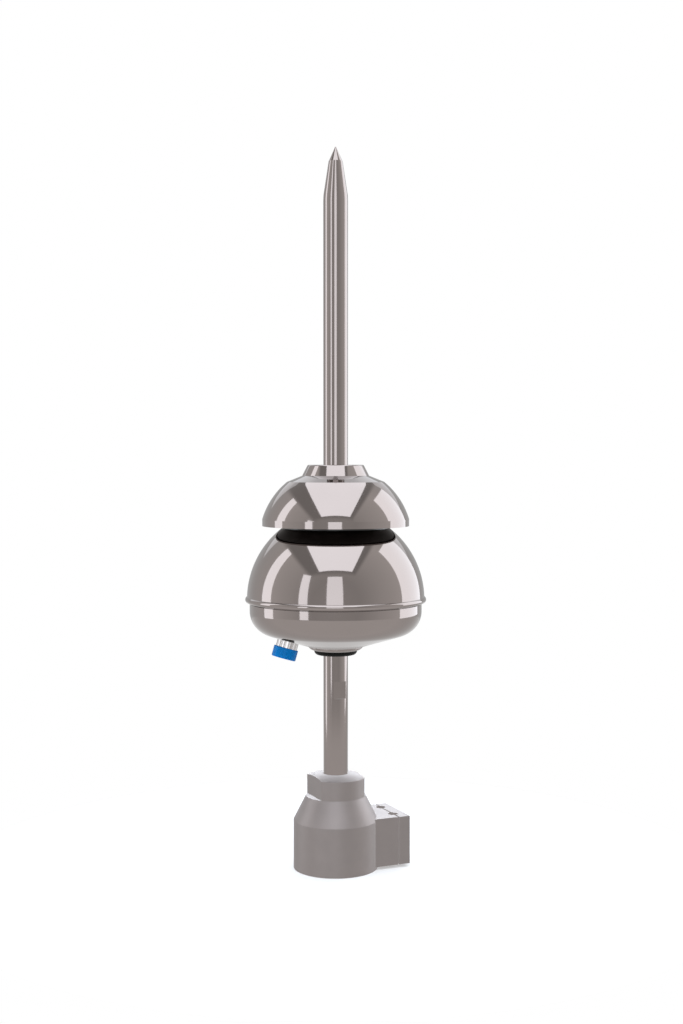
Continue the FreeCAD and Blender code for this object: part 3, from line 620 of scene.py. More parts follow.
def plated(name, dark, light, roughness):
    """A bright plated or drawn metal with faint marks half a millimetre wide."""
    material, tree, place = new_material(name)
    marks = add(tree, "ShaderNodeTexNoise", {
        "Vector": place, "Scale": per_metre(0.5), "Detail": 3.0,
    })
    colour = add(tree, "ShaderNodeMix", {
        "Factor": marks.outputs["Fac"], 6: linear(dark), 7: linear(light),
    }, data_type="RGBA")
    gloss = add(tree, "ShaderNodeMapRange", {
        "Value": marks.outputs["Fac"],
        "To Min": roughness - MARK_SWING, "To Max": roughness + MARK_SWING,
    })
    return with_surface(material, {
        "Metallic": 1.0, "Base Color": colour.outputs[2], "Roughness": gloss,
    })


NICKEL = plated("nickel_plated_brass", "9a9694", "aaa6a4", 0.16)
print(NICKEL.name)

# %% [markdown]
# ### A finish for each slot
#
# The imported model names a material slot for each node. The table gives each slot
# one finish, with what it gives the eye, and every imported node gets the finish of
# its slot, the ones inside the housing too.

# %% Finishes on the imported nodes
finishes = {
    # a grey-brown mirror of the room, with hair-fine rings
    "polished_steel": POLISHED,
    # an even satin grey with a fine grain
    "satin_steel": CAST,
    # a soft gloss with short marks
    "fastener_steel": MACHINED,
    # warm black, lifted a little as painted light against the shade of the
    # insulator's narrow gap, with a broad weak highlight
    "black_nylon": moulded("black_glass_filled_nylon", "262321", "2e2a28", 0.8, 0.30, 0.002, 0.4),
    # waxy white, hardly any gloss
    "white_ptfe": moulded("white_ptfe", "e2e2dc", "ebebe6", 0.6, 0.50, 0.01),
    # deep green under a thin lacquer, with the weave's small rise
    "glass_laminate": moulded("green_glass_laminate", "2b5a38", "356a43", 0.8, 0.40, 0.01),
    # warm yellow with a drawn shine
    "brass": plated("drawn_brass", "b3914f", "c2a05c", 0.22),
    # a pale, slightly warm silver
    "nickel_brass": NICKEL,
    # dark blue film with a tight gloss
    "capacitor_sleeve": moulded("dark_blue_shrink_sleeve", "16203a", "1d2948", 1.0, 0.30, 0.01),
    # matt dark grey, a little rough
    "ferrite": moulded("sintered_ferrite", "262524", "31302f", 0.3, 0.70, 0.02),
    # red-brown shine of varnished wire
    "copper_wire": plated("enamelled_copper_wire", "a8552b", "b96436", 0.25),
    # glossy off-white glaze
    "arrester_ceramic": moulded("glazed_white_ceramic", "dcd8d0", "e6e2da", 1.5, 0.15, 0.005),
    # dull black that takes the light away
    "rubber": moulded("black_epdm_rubber", "161514", "201f1e", 0.3, 0.60, 0.02),
    # strong blue with a soft sheen
    "blue_plastic": moulded("blue_moulded_polyethylene", "027ccc", "0482d2", 0.6, 0.38, 0.008, 0.1),
}
for part in record["subparts"]:
    node = nodes[part["node"]]
    node.data.materials.clear()
    node.data.materials.append(finishes[part["material_slot"]])
print(len(finishes), "finishes on", len(record["subparts"]), "nodes")

# %% [markdown]
# ## Turned and spun pieces
#
# The rod, the cap, the housing and the shaft are all bodies of revolution: a lathe
# or a spinning wheel turns one outline round the axis. A Screw modifier could do
# the same. A Geometry Nodes tree shows each step and has its sizes as named
# inputs, so one tree serves all eight pieces. It takes the outline as a chain of
# edges in the XZ plane and sweeps it along a circle, with so many sides that a
# mirror-smooth surface shows no facets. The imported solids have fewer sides, so
# these pieces stand for them.

# %% The lathe's tree
RING = 0.1
SIDES = 288
MERGE = 1e-7


def new_tree(name, inputs):
    """A Geometry Nodes tree with named inputs, and the sockets that they arrive at."""
    tree = bpy.data.node_groups.new(name, "GeometryNodeTree")
    for label, kind in (*inputs, ("Finish", "Material")):
        tree.interface.new_socket(label, in_out="INPUT", socket_type="NodeSocket" + kind)
    tree.interface.new_socket("Made", in_out="OUTPUT", socket_type="NodeSocketGeometry")
    return tree, add(tree, "NodeGroupInput").outputs


def end_tree(tree, geometry, finish):
    """Make the geometry real, give it its finish and hand it out."""
    real = add(tree, "GeometryNodeRealizeInstances", {"Geometry": geometry})
    finished = add(tree, "GeometryNodeSetMaterial", {"Geometry": real, "Material": finish})
    add(tree, "NodeGroupOutput", {"Made": finished})
    return tree


def lathe_tree():
    """Sweep an outline, a chain of edges in the XZ plane, round the Z axis."""
    tree, given = new_tree("lathe", [("Outline", "Geometry"), ("Sides", "Int")])
    outline = add(tree, "GeometryNodeMeshToCurve", {"Mesh": given["Outline"]})
    profile = add(tree, "GeometryNodeTransform", {
        "Geometry": outline,
        "Translation": (-RING, 0.0, 0.0),
        "Rotation": (math.radians(90.0), 0.0, 0.0),
    })
    circle = add(tree, "GeometryNodeCurvePrimitiveCircle", {
        "Resolution": given["Sides"], "Radius": RING,
    })
    swept = add(tree, "GeometryNodeCurveToMesh", {"Curve": circle, "Profile Curve": profile})
    closed = add(tree, "GeometryNodeMergeByDistance", {"Geometry": swept, "Distance": MERGE})
    return end_tree(tree, closed, given["Finish"])


LATHE = lathe_tree()
print(LATHE.name, "has", len(LATHE.nodes), "nodes")

# %% [markdown]
# ### From the tree to a plain mesh
#
# The export reads plain meshes, so what a modifier makes is copied into the piece
# and the modifier is removed. Faces are turned outwards there, and edges sharper
# than a few degrees are kept crisp, since a lathe leaves no wide rounds.

# %% Settle a piece
SHARP = math.radians(12.0)


def turn_outward(mesh):
    """Make all faces point out of the closed shape."""
    shape = bmesh.new()
    shape.from_mesh(mesh)
    bmesh.ops.recalc_face_normals(shape, faces=shape.faces[:])
    shape.to_mesh(mesh)
    shape.free()


def settle(piece):
    """Turn what the modifiers make into a plain mesh with outward faces and crisp edges."""
    evaluated = piece.evaluated_get(bpy.context.evaluated_depsgraph_get())
    mesh = bpy.data.meshes.new_from_object(evaluated)
    piece.modifiers.clear()
    piece.data = mesh
    mesh.name = piece.name
    turn_outward(mesh)
    mesh.shade_smooth()
    mesh.set_sharp_from_angle(angle=SHARP)


def set_inputs(modifier, values):
    """Set a Geometry Nodes modifier's inputs, named as in its tree, by their identifiers."""
    for item in modifier.node_group.interface.items_tree:
        if item.item_type == "SOCKET" and item.in_out == "INPUT" and item.name in values:
            modifier[item.identifier] = values[item.name]


def made_by(tree, name, points, edges, inputs):
    """A piece that a tree makes from points and edges in metres."""
    mesh = bpy.data.meshes.new(name)
    mesh.from_pydata(points, edges, [])
    piece = new_object(name, mesh)
    modifier = piece.modifiers.new(tree.name, "NODES")
    modifier.node_group = tree
    set_inputs(modifier, inputs)
    settle(piece)
    return piece


def stand_for(piece, node):
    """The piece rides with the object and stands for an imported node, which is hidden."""
    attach(piece, BODY)
    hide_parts(node)
    print(piece.name, "for", node, len(piece.data.polygons), "faces")


print("edges over", round(math.degrees(SHARP)), "degrees stay crisp")

# %% [markdown]
# ### Outlines
#
# An outline is a short list of (radius, height) points in millimetres. Its round
# stretches are arcs, so that only their centre, radius and angles are written.
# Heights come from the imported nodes, so that each piece sits where its node does.

# %% Outline helpers
ARC_STEP = 2.5
DOME_STEP = 1.5
SMALL_STEP = 9.0


def turned(name, outline, finish, closed=True):
    """A lathe piece from an outline of (radius, height) points in millimetres."""
    points = [(r * MM, 0.0, z * MM) for r, z in outline]
    edges = [(index, index + 1) for index in range(len(points) - 1)]
    if closed:
        edges.append((len(points) - 1, 0))
    return made_by(LATHE, name, points, edges, {"Sides": SIDES, "Finish": finish})


def arc(centre, radius, start, end, step=ARC_STEP):
    """Points on an arc from one angle to another, in degrees above the outward direction."""
    count = max(2, math.ceil(abs(end - start) / step))
    points = []
    for index in range(count + 1):
        angle = math.radians(start + (end - start) * index / count)
        points.append((centre[0] + radius * math.cos(angle), centre[1] + radius * math.sin(angle)))
    return points


def span(node):
    """Largest radius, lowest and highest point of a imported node, in millimetres.

    The node's facets cut its radius short by a hair, so it is rounded to a tenth.
    """
    low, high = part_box(node)
    return round(max(-low.y, high.y) / MM, 1), low.z / MM, high.z / MM


print("a quarter round has", len(arc((0.0, 0.0), 1.0, 0.0, 90.0)), "points")

# %% [markdown]
# ### The pointed rod
#
# One bar, turned to a long taper and then to a short steep point. Its foot is
# bored for the stud, and the drill leaves a cone at the end of the hole. The
# narrow land under the taper is where the lathe runs from full size to the taper.
# A cone and a cylinder would do for a rod without a hole; here one outline holds
# inside and outside.

# %% Pointed rod
POINT_LENGTH = 11.6
POINT_ROOT = 5.7
TIP_FLAT = 0.4
TAPER_LENGTH = 27.0
TAPER_ROOT = 9.8
LAND = 4.4
EDGE = 0.6
STUD_HOLE = 8.1
STUD_HOLE_DEPTH = 31.0
DRILL_SLOPE = math.tan(math.radians(30.0))

rod_radius, rod_foot, rod_top = span("tip_rod")
point_root = rod_top - POINT_LENGTH
taper_root = point_root - TAPER_LENGTH
hole_top = rod_foot + STUD_HOLE_DEPTH
rod = turned("pointed_rod", [
    (0.0, hole_top + STUD_HOLE * DRILL_SLOPE),
    (STUD_HOLE, hole_top),
    (STUD_HOLE, rod_foot),
    (rod_radius - EDGE, rod_foot),
    (rod_radius, rod_foot + EDGE),
    (rod_radius, taper_root - LAND),
    (TAPER_ROOT, taper_root),
    (POINT_ROOT, point_root),
    (TIP_FLAT, rod_top),
    (0.0, rod_top),
], POLISHED, closed=False)
stand_for(rod, "tip_rod")

# %% [markdown]
# ### The cap
#
# Spun from 1.5 mm sheet: a flat seat for the collar, a sloping shoulder, a round
# side and a short upright skirt. The sheet could be a surface with a Solidify
# modifier, but the inner face is the same outline one sheet thickness further in,
# so one function gives both and their corners stay exact.

# %% Spun cap
SHEET = 1.5
CAP_RADIUS = 59.7
CAP_ARC = 62.4
CAP_SHOULDER = 39.5
CAP_SLOPE = math.radians(22.0)
CAP_SEAT = 27.2
CAP_HOLE = 14.2

_, cap_rim, cap_top = span("upper_cap")
cap_centre = (
    cap_top - (CAP_SHOULDER - CAP_SEAT) * math.tan(CAP_SLOPE)
    - math.sqrt(CAP_ARC ** 2 - CAP_SHOULDER ** 2)
)


def cap_face(inset):
    """The cap's outline from its rim up to the seat, at a depth in the sheet."""
    radius = CAP_ARC - inset
    wall = CAP_RADIUS - inset
    top = cap_top - inset
    corner = CAP_SEAT - inset * math.tan(CAP_SLOPE / 2)
    reach = corner * math.sin(CAP_SLOPE) + (top - cap_centre) * math.cos(CAP_SLOPE)
    shoulder = 90.0 - math.degrees(CAP_SLOPE + math.acos(reach / radius))
    skirt = math.degrees(math.acos(wall / radius))
    side = arc((0.0, cap_centre), radius, skirt, shoulder)
    return [(wall, cap_rim)] + side + [(corner, top), (CAP_HOLE, top)]


cap = turned("spun_cap", cap_face(0.0) + cap_face(SHEET)[::-1], POLISHED)
stand_for(cap, "upper_cap")

# %% [markdown]
# ### The upper housing
#
# A deep spun dome. Its top is turned in for the insulator to sit on, and its edge
# is rolled outwards into the round bead that shows as a bright line round the
# widest part. The bead could be a torus of its own, but on the real dome it is the
# same sheet, so it stays in the outline.

# %% Spun dome
DOME_RADIUS = 72.2
DOME_ARC = 73.2
DOME_MOUTH = 36.0
BEAD = 2.5

_, dome_foot, dome_top = span("housing_dome")
dome_inside = DOME_RADIUS - SHEET
bead_circle = dome_inside + BEAD / 6
bead_height = dome_foot + BEAD
dome_centre = DOME_RADIUS - DOME_ARC


def dome_face(inset):
    """The dome's outline from the inner edge of its bead up to its mouth."""
    ring = BEAD - inset
    radius = DOME_ARC - inset
    reach = bead_circle - dome_centre
    start = math.degrees(math.acos((reach ** 2 + radius ** 2 - ring ** 2) / (2 * reach * radius)))
    end = math.degrees(math.asin((dome_top - inset - bead_height) / radius))
    side = arc((dome_centre, bead_height), radius, start, end, DOME_STEP)
    foot = math.degrees(math.acos((dome_inside - bead_circle) / ring))
    meets = math.degrees(math.atan2(side[0][1] - bead_height, side[0][0] - bead_circle))
    bead = arc((bead_circle, bead_height), ring, -foot, meets, SMALL_STEP)
    return bead + side[1:] + [(DOME_MOUTH, dome_top - inset)]


dome = turned("spun_dome", dome_face(0.0) + dome_face(SHEET)[::-1], POLISHED)
stand_for(dome, "housing_dome")

# %% [markdown]
# ### The lower housing
#
# The dish closes the dome from below. It slopes gently outwards from the bush,
# turns up in a wide round, and has a narrow groove just under the dome's bead.
# Above the groove a slightly wider spigot fits inside the dome. The groove could
# be a dark line in the material, but a real one also catches the light.

# %% Spun dish
SPIGOT = 70.5
DISH_FLAT = 22.0
DISH_SLOPE = 16.7
DISH_CORNER = 20.0
DISH_WALL = 6.1
SPIGOT_STEP = 0.5
GROOVE_DEPTH = 0.7
GROOVE_HEIGHT = 0.8
DISH_HOLE = 13.3

_, dish_bottom, spigot_top = span("housing_dish")
dish_radius = SPIGOT - SPIGOT_STEP
dish_centre = dish_radius - DISH_CORNER
slope = math.radians(DISH_SLOPE)
corner_height = dish_bottom + (
    DISH_CORNER + (dish_centre - DISH_FLAT) * math.sin(slope)
) / math.cos(slope)
groove_bottom = corner_height + DISH_WALL
groove_top = groove_bottom + GROOVE_HEIGHT


def dish_face(inset):
    """The dish's outline from the bush's hole out and up to the end of the round."""
    flat = DISH_FLAT - inset * math.tan(slope / 2)
    corner = arc((dish_centre, corner_height), DISH_CORNER - inset, DISH_SLOPE - 90.0, 0.0)
    return [(DISH_HOLE, dish_bottom + inset), (flat, dish_bottom + inset)] + corner


dish = turned("spun_dish", dish_face(0.0) + [
    (dish_radius, groove_bottom),
    (dish_radius - GROOVE_DEPTH, groove_bottom + GROOVE_HEIGHT / 3),
    (dish_radius - GROOVE_DEPTH, groove_top - GROOVE_HEIGHT / 3),
    (SPIGOT, groove_top),
    (SPIGOT, spigot_top - 2 * EDGE),
    (SPIGOT - EDGE, spigot_top),
    (dish_radius - SHEET, spigot_top),
] + dish_face(SHEET)[::-1], DISH_FINISH)
print("the dish's groove is at z =", round(groove_bottom, 2), "mm")

# %% [markdown]
# ### Holes and flats
#
# The test connector goes through the dish's slope, and the wrench flats are milled
# across the shaft. Neither runs round the axis, so the outline can't hold them. A
# Boolean modifier takes them out of the turned mesh as a drill or mill would, with
# a cutter that is deleted afterwards.

# %% Cuts
CONNECTOR_HOLE = 7.3
DRILL_INWARD = 5.0
DRILL_OUTWARD = 10.0
BAR_SIDES = 48


def cutter_object(shape):
    """A loose object from a bmesh shape, for a Boolean to cut with."""
    mesh = bpy.data.meshes.new("cutter")
    shape.to_mesh(mesh)
    shape.free()
    return new_object("cutter", mesh)


def cutter_bar(radius_mm, start, end):
    """A round cutter between two points in millimetres."""
    start, end = Vector(start) * MM, Vector(end) * MM
    shape = bmesh.new()
    bmesh.ops.create_cone(
        shape, cap_ends=True, segments=BAR_SIDES, radius1=radius_mm * MM, radius2=radius_mm * MM,
        depth=(end - start).length,
    )
    turn = (end - start).to_track_quat("Z", "Y").to_matrix().to_4x4()
    shape.transform(Matrix.Translation((start + end) / 2) @ turn)
    return cutter_object(shape)


def cutter_block(low, high):
    """A block cutter between two corners in millimetres."""
    low, high = Vector(low) * MM, Vector(high) * MM
    shape = bmesh.new()
    bmesh.ops.create_cube(shape, size=1.0)
    shape.transform(Matrix.Translation((low + high) / 2) @ Matrix.Diagonal((*(high - low), 1.0)))
    return cutter_object(shape)


def cut(piece, cutter):
    """Take a cutter's shape out of a piece, and delete the cutter."""
    boolean = piece.modifiers.new("cut", "BOOLEAN")
    boolean.operation = "DIFFERENCE"
    boolean.solver = "EXACT"
    boolean.object = cutter
    settle(piece)
    bpy.data.objects.remove(cutter)


gasket_low, gasket_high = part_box("socket_gasket")
gasket_middle = (gasket_low + gasket_high) / 2 / MM
outward = Vector((-math.sin(slope), 0.0, -math.cos(slope)))
cut(dish, cutter_bar(
    CONNECTOR_HOLE, gasket_middle - outward * DRILL_INWARD, gasket_middle + outward * DRILL_OUTWARD,
))
stand_for(dish, "housing_dish")

# %% [markdown]
# ### The shaft
#
# A plain bar with a stud turned on its upper end, which runs up through the whole
# head. Two milled flats near the middle of the bare length take a wrench. They
# could be dark patches in the material, but a flat mirrors another part of the
# room than the round bar, and only a true cut shows that from any side.

# %% Shaft with wrench flats
STUD = 8.0
FLATS = 17.0
FLATS_RISE = 62.2
FLATS_LENGTH = 14.0

shaft_radius, shaft_foot, stud_top = span("shaft")
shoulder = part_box("shoulder_washer")[0].z / MM
flats_foot = span("mast_adaptor")[2] + FLATS_RISE
shaft = turned("turned_shaft", [
    (0.0, shaft_foot),
    (shaft_radius - EDGE, shaft_foot),
    (shaft_radius, shaft_foot + EDGE),
    (shaft_radius, shoulder),
    (STUD, shoulder),
    (STUD, stud_top - EDGE),
    (STUD - EDGE, stud_top),
    (0.0, stud_top),
], POLISHED, closed=False)
for side in (-1, 1):
    near, far = sorted((side * FLATS / 2, side * 2 * shaft_radius))
    cut(shaft, cutter_block(
        (-2 * shaft_radius, near, flats_foot), (2 * shaft_radius, far, flats_foot + FLATS_LENGTH),
    ))
stand_for(shaft, "shaft")

# %% [markdown]
# ### The collar
#
# A small turned ring closes the cap round the rod. Its side leans in to a rounded
# crown, and a grub screw at the back needs a hole. A bevel would round the crown
# as well, but an arc in the outline has its size in millimetres.

# %% Collar
COLLAR_BASE = 27.2
COLLAR_TOP = 22.7
COLLAR_ROUND = 1.6
COLLAR_SPIGOT = 14.0
COLLAR_BORE = 8.3
COLLAR_SEAT = 10.1
COLLAR_HOLE = 3.1
PAST_THE_COLLAR = 40.0

_, collar_foot, collar_crown = span("top_collar")
lean = math.atan2(COLLAR_BASE - COLLAR_TOP, collar_crown - cap_top)
round_z = collar_crown - COLLAR_ROUND
round_r = COLLAR_BASE - (round_z - cap_top) * math.tan(lean) - COLLAR_ROUND / math.cos(lean)
collar = turned("turned_collar", [
    (COLLAR_BORE, collar_foot),
    (COLLAR_SPIGOT, collar_foot),
    (COLLAR_SPIGOT, cap_top),
    (COLLAR_BASE, cap_top),
] + arc((round_r, round_z), COLLAR_ROUND, math.degrees(lean), 90.0, SMALL_STEP) + [
    (COLLAR_SEAT, collar_crown),
    (COLLAR_SEAT, rod_foot),
    (COLLAR_BORE, rod_foot),
], POLISHED)
screw_low, screw_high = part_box("collar_set_screw")
screw_z = (screw_low.z + screw_high.z) / 2 / MM
cut(collar, cutter_bar(COLLAR_HOLE, (0.0, rod_radius, screw_z), (0.0, PAST_THE_COLLAR, screw_z)))
stand_for(collar, "top_collar")

# %% [markdown]
# ### The ring and the bush
#
# Under the dish sits a metal ring with a slightly bulging side, and under that the
# black bush that carries the dish on the shaft and keeps them apart. The bulge is
# one arc between the ring's two edges. Its centre is worked out from how far the
# arc rises over the straight line between them.

# %% Ring
FLANGE_FOOT = 17.8
FLANGE_BULGE = 0.6
FLANGE_STEP = 6.0

flange_radius, flange_bottom, flange_top = span("bottom_flange")
foot = Vector((FLANGE_FOOT, flange_bottom))
corner = Vector((flange_radius, flange_top - EDGE))
half_chord = (corner - foot).length / 2
edge_radius = (half_chord ** 2 + FLANGE_BULGE ** 2) / (2 * FLANGE_BULGE)
inward = Vector((foot.y - corner.y, corner.x - foot.x)).normalized()
edge_centre = (foot + corner) / 2 + inward * (edge_radius - FLANGE_BULGE)
ends = [math.degrees(math.atan2(*(point - edge_centre).yx)) for point in (foot, corner)]
flange = turned("turned_flange", [
    (DISH_HOLE, flange_bottom),
] + arc(edge_centre, edge_radius, *ends, FLANGE_STEP) + [
    (flange_radius, flange_top),
    (DISH_HOLE, flange_top),
], DISH_FINISH)
stand_for(flange, "bottom_flange")

# %% Bush
BUSH_ROUND = 3.2
BUSH_NECK = 13.0
BUSH_BORE = 10.3

lip, bush_bottom, bush_top = span("bottom_insulator")
round_centre = (lip - BUSH_ROUND, bush_bottom + BUSH_ROUND)
bush = turned("moulded_bush", [
    (BUSH_BORE, bush_bottom),
] + arc(round_centre, BUSH_ROUND, -90.0, 0.0, SMALL_STEP) + [
    (lip, flange_bottom),
    (BUSH_NECK, flange_bottom),
    (BUSH_NECK, bush_top),
    (BUSH_BORE, bush_top),
], BUSH_PAINTED_SHADE_FINISH)
stand_for(bush, "bottom_insulator")

# %% [markdown]
# ## Screws with real threads
#
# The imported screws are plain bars. Here each gets the thread that the wrench feels:
# a ridge wound round a core, which runs out at both ends. A bump could fake it, but
# not at the screw's outline. The ridge is a small trapezium swept along a spiral,
# and it shrinks to nothing over the first and the last turn.

# %% The thread
TURN_POINTS = 48
M8_PITCH = 1.25
# Depth, foot and crest of the ridge, as shares of the pitch
THREAD_DEPTH = 0.61
RIDGE_FOOT = 0.88
RIDGE_CREST = 0.13
# How far the ridge's foot goes into the core, as a share of its depth
RIDGE_SUNK = 0.1
RUN_OUT_END = 0.02


def screw_core(tree, radius, pitch, length, rise):
    """A bar down from the origin, which goes on above it for a number of pitches."""
    above = add(tree, "ShaderNodeMath", {0: pitch, 1: rise}, operation="MULTIPLY")
    whole = add(tree, "ShaderNodeMath", {0: above, 1: length}, operation="ADD")
    bar = add(tree, "GeometryNodeMeshCylinder", {
        "Vertices": TURN_POINTS, "Radius": radius, "Depth": whole,
    })
    shift = add(tree, "ShaderNodeMath", {0: above, 1: length}, operation="SUBTRACT")
    half = add(tree, "ShaderNodeMath", {0: shift, 1: 0.5}, operation="MULTIPLY")
    return add(tree, "GeometryNodeTransform", {
        "Geometry": bar, "Translation": add(tree, "ShaderNodeCombineXYZ", {"Z": half}),
    })


def ridge_profile(tree, pitch, depth):
    """The trapezium of the ridge, which points away from the core."""
    foot = add(tree, "ShaderNodeMath", {0: pitch, 1: RIDGE_FOOT}, operation="MULTIPLY")
    crest = add(tree, "ShaderNodeMath", {0: pitch, 1: RIDGE_CREST}, operation="MULTIPLY")
    height = add(tree, "ShaderNodeMath", {0: depth, 1: 1.0 + RIDGE_SUNK}, operation="MULTIPLY")
    trapezium = add(tree, "GeometryNodeCurvePrimitiveQuadrilateral", {
        "Bottom Width": foot, "Top Width": crest, "Offset": 0.0, "Height": height,
    }, mode="TRAPEZOID")
    outward = add(tree, "ShaderNodeMath", {
        0: depth, 1: (1.0 - RIDGE_SUNK) / 2}, operation="MULTIPLY")
    return add(tree, "GeometryNodeTransform", {
        "Geometry": trapezium, "Translation": add(tree, "ShaderNodeCombineXYZ", {"X": outward}),
        "Rotation": (0.0, 0.0, math.radians(-90.0)),
    })


def ridge_scale(tree, turns):
    """The ridge's size along the spiral: full, but nothing at both ends."""
    along = add(tree, "GeometryNodeSplineParameter").outputs["Factor"]
    from_middle = add(tree, "ShaderNodeMath", {0: along, 1: 0.5}, operation="SUBTRACT")
    aside = add(tree, "ShaderNodeMath", {0: from_middle}, operation="ABSOLUTE")
    from_end = add(tree, "ShaderNodeMath", {0: 0.5, 1: aside}, operation="SUBTRACT")
    turns_from_end = add(tree, "ShaderNodeMath", {0: from_end, 1: turns}, operation="MULTIPLY")
    return add(tree, "ShaderNodeMapRange", {
        "Value": turns_from_end, "From Max": 0.5, "To Min": RUN_OUT_END,
    })


def thread_ridge(tree, core_radius, depth, pitch, length):
    """The ridge wound round the core, half a pitch short of both its ends."""
    wound = add(tree, "ShaderNodeMath", {0: length, 1: pitch}, operation="SUBTRACT")
    turns = add(tree, "ShaderNodeMath", {0: wound, 1: pitch}, operation="DIVIDE")
    spiral = add(tree, "GeometryNodeCurveSpiral", {
        "Resolution": TURN_POINTS, "Rotations": turns,
        "Start Radius": core_radius, "End Radius": core_radius, "Height": wound, "Reverse": True,
    })
    ridge = add(tree, "GeometryNodeCurveToMesh", {
        "Curve": add(tree, "GeometryNodeSetCurveNormal", {"Curve": spiral}, mode="Z_UP"),
        "Profile Curve": ridge_profile(tree, pitch, depth),
        "Scale": ridge_scale(tree, turns), "Fill Caps": True,
    })
    down = add(tree, "ShaderNodeMath", {0: wound, 1: -1.0}, operation="MULTIPLY")
    low = add(tree, "ShaderNodeMath", {0: pitch, 1: -0.5, 2: down}, operation="MULTIPLY_ADD")
    return add(tree, "GeometryNodeTransform", {
        "Geometry": ridge, "Translation": add(tree, "ShaderNodeCombineXYZ", {"Z": low}),
    })


print("an M8 thread is", round(THREAD_DEPTH * M8_PITCH, 2), "mm deep")

# %% [markdown]
# ### Heads, sockets and copies
#
# The clamp's screws have a hexagon head whose corners are turned off, and the grub
# screws have a hexagon socket instead. The head is a prism and a cone that share
# their inside, and the socket is a prism taken out of the core. The tree makes one
# screw and sets a copy on every point where a screw sits, which a loop over
# objects would do with more meshes.

# %% The screws' trees
# Radius of the head's crown, for 12.4 mm on 13 mm, and of the cone under it,
# which clears the prism's corners, as shares of the size across the flats
HEAD_CROWN = 12.4 / 13.0 / 2
HEAD_SKIRT = 1.02
# The radius of a hexagon's corners, as a share of the size across its flats
HEXAGON_CORNER = 1 / math.sqrt(3.0)


def hexagon_prism(tree, across_flats, height):
    """A hexagon prism whose middle is at the origin."""
    corner = add(tree, "ShaderNodeMath", {0: across_flats, 1: HEXAGON_CORNER}, operation="MULTIPLY")
    return add(tree, "GeometryNodeMeshCylinder", {
        "Vertices": 6, "Radius": corner, "Depth": height,
    })


def hexagon_head(tree, across_flats, height, core):
    """A hexagon prism with its upper corners turned off, joined to the core."""
    half = add(tree, "ShaderNodeMath", {0: height, 1: 0.5}, operation="MULTIPLY")
    lifted = add(tree, "GeometryNodeTransform", {
        "Geometry": hexagon_prism(tree, across_flats, height),
        "Translation": add(tree, "ShaderNodeCombineXYZ", {"Z": half}),
    })
    top = add(tree, "ShaderNodeMath", {0: across_flats, 1: HEAD_CROWN}, operation="MULTIPLY")
    bottom = add(tree, "ShaderNodeMath", {0: across_flats, 1: HEAD_SKIRT}, operation="MULTIPLY")
    crown = add(tree, "GeometryNodeMeshCone", {
        "Vertices": TURN_POINTS, "Depth": height, "Radius Top": top, "Radius Bottom": bottom,
    })
    chamfered = add(tree, "GeometryNodeMeshBoolean", {
        "Mesh 2": [lifted, crown]}, operation="INTERSECT", solver="EXACT")
    return add(tree, "GeometryNodeMeshBoolean", {
        "Mesh 2": [core, chamfered]}, operation="UNION", solver="EXACT")


def hexagon_socket(tree, across_flats, depth, core):
    """The core with a hexagon socket in its upper end."""
    twice = add(tree, "ShaderNodeMath", {0: depth, 1: 2.0}, operation="MULTIPLY")
    return add(tree, "GeometryNodeMeshBoolean", {
        "Mesh 1": core, "Mesh 2": hexagon_prism(tree, across_flats, twice),
    }, operation="DIFFERENCE", solver="EXACT")


def screws_tree(name, drive, rise):
    """Threaded screws on points. The drive is their head or socket."""
    numbers = ("Radius", "Pitch", "Length", "Across Flats", "Hexagon Height")
    tree, given = new_tree(name, [
        ("Places", "Geometry"), *((number, "Float") for number in numbers), ("Turn Axis", "Vector"),
    ])
    pitch, length = given["Pitch"], given["Length"]
    depth = add(tree, "ShaderNodeMath", {0: pitch, 1: THREAD_DEPTH}, operation="MULTIPLY")
    core_radius = add(tree, "ShaderNodeMath", {0: given["Radius"], 1: depth}, operation="SUBTRACT")
    core = screw_core(tree, core_radius, pitch, length, rise)
    body = drive(tree, given["Across Flats"], given["Hexagon Height"], core)
    ridge = thread_ridge(tree, core_radius, depth, pitch, length)
    screw = add(tree, "GeometryNodeJoinGeometry", {"Geometry": [body, ridge]})
    turn = add(tree, "FunctionNodeAxisAngleToRotation", {
        "Axis": given["Turn Axis"], "Angle": math.radians(90.0),
    })
    copies = add(tree, "GeometryNodeInstanceOnPoints", {
        "Points": given["Places"], "Instance": screw, "Rotation": turn,
    })
    return end_tree(tree, copies, given["Finish"])


HEXAGON_SCREWS = screws_tree("hexagon_head_screws", hexagon_head, 1.0)
GRUB_SCREWS = screws_tree("hexagon_socket_screws", hexagon_socket, 0.0)
print(len(HEXAGON_SCREWS.nodes), "and", len(GRUB_SCREWS.nodes), "nodes")

# %% [markdown]
# ### The screws in their places
#
# Two M8 screws close the clamp from its outer face, two M8 grub screws at the back
# hold the adaptor on its mast, and an M6 one locks the collar. Their places come
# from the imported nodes, and each group is one piece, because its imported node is.

# %% Clamp screws and grub screws
# Radius, pitch, length, size across the flats and height of the hexagon
HEXAGON_M8 = (4.0, M8_PITCH, 25.0, 13.0, 5.3)
GRUB_M8 = (4.0, M8_PITCH, 10.0, 4.0, 5.0)
GRUB_M6 = (3.0, 1.0, 10.0, 3.0, 5.0)
CLAMP_SCREWS_APART = 18.0
MAST_SCREWS_APART = 16.0
TO_THE_CLAMP = (0.0, 1.0, 0.0)
TO_THE_BACK = (-1.0, 0.0, 0.0)


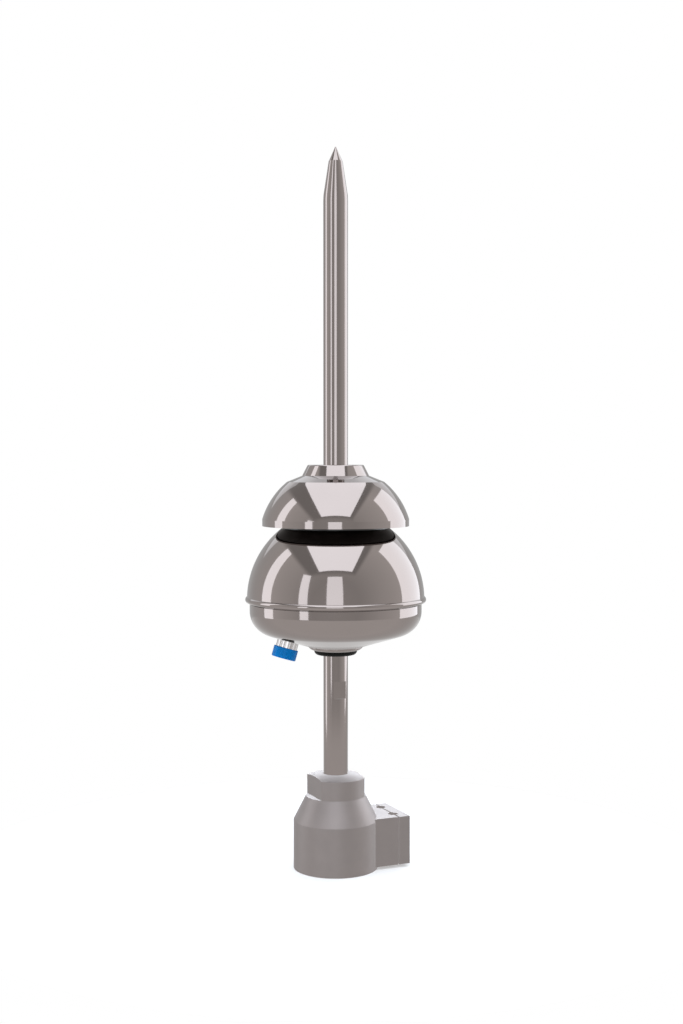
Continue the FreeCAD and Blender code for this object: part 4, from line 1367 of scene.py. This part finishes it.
def screws(name, tree, places, sizes, turn_axis, node):
    """Screws of one size at places in millimetres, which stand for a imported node."""
    points = [[c * MM for c in place] for place in places]
    radius, pitch, length, across_flats, height = (size * MM for size in sizes)
    piece = made_by(tree, name, points, [], {
        "Radius": radius, "Pitch": pitch, "Length": length, "Across Flats": across_flats,
        "Hexagon Height": height, "Turn Axis": turn_axis, "Finish": MACHINED,
    })
    stand_for(piece, node)
    return piece


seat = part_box("clamp_washers")[1].x / MM
low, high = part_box("clamp_screws")
middle = (low.z + high.z) / 2 / MM
clamp_places = [(seat, 0.0, middle + side * CLAMP_SCREWS_APART / 2) for side in (-1, 1)]
hexagon_screws = screws(
    "hexagon_screws", HEXAGON_SCREWS, clamp_places, HEXAGON_M8, TO_THE_CLAMP, "clamp_screws",
)
low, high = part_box("mast_set_screws")
middle = (low.z + high.z) / 2 / MM
mast_places = [(0.0, high.y / MM, middle + side * MAST_SCREWS_APART / 2) for side in (-1, 1)]
mast_grub_screws = screws(
    "mast_grub_screws", GRUB_SCREWS, mast_places, GRUB_M8, TO_THE_BACK, "mast_set_screws",
)
collar_places = [(0.0, screw_high.y / MM, screw_z)]
collar_grub_screw = screws(
    "collar_grub_screw", GRUB_SCREWS, collar_places, GRUB_M6, TO_THE_BACK, "collar_set_screw",
)

# %% [markdown]
# ## What the polished steel must not show
#
# A mirror-bright dish also shows the shaft, the adaptor and the connector below it,
# as dark shapes. In product pictures they are taken out afterwards. Instead of
# painting over them, the pieces below let reflected rays pass through. They stay
# visible and keep their light and their shadows.

# %% Pieces without a mirror image
NO_IMAGE = (
    "mast_adaptor", "clamp_plate", "clamp_washers", "test_socket", "test_cap", "socket_gasket",
)
unmirrored = [shaft, bush, flange, hexagon_screws, mast_grub_screws, collar_grub_screw]
unmirrored += [nodes[name] for name in NO_IMAGE]
for piece in unmirrored:
    piece.visible_glossy = False
print(len(unmirrored), "pieces have no mirror image")

# %% Sizes and the last line
print("packed", [list(corner) for corner in cad_box])
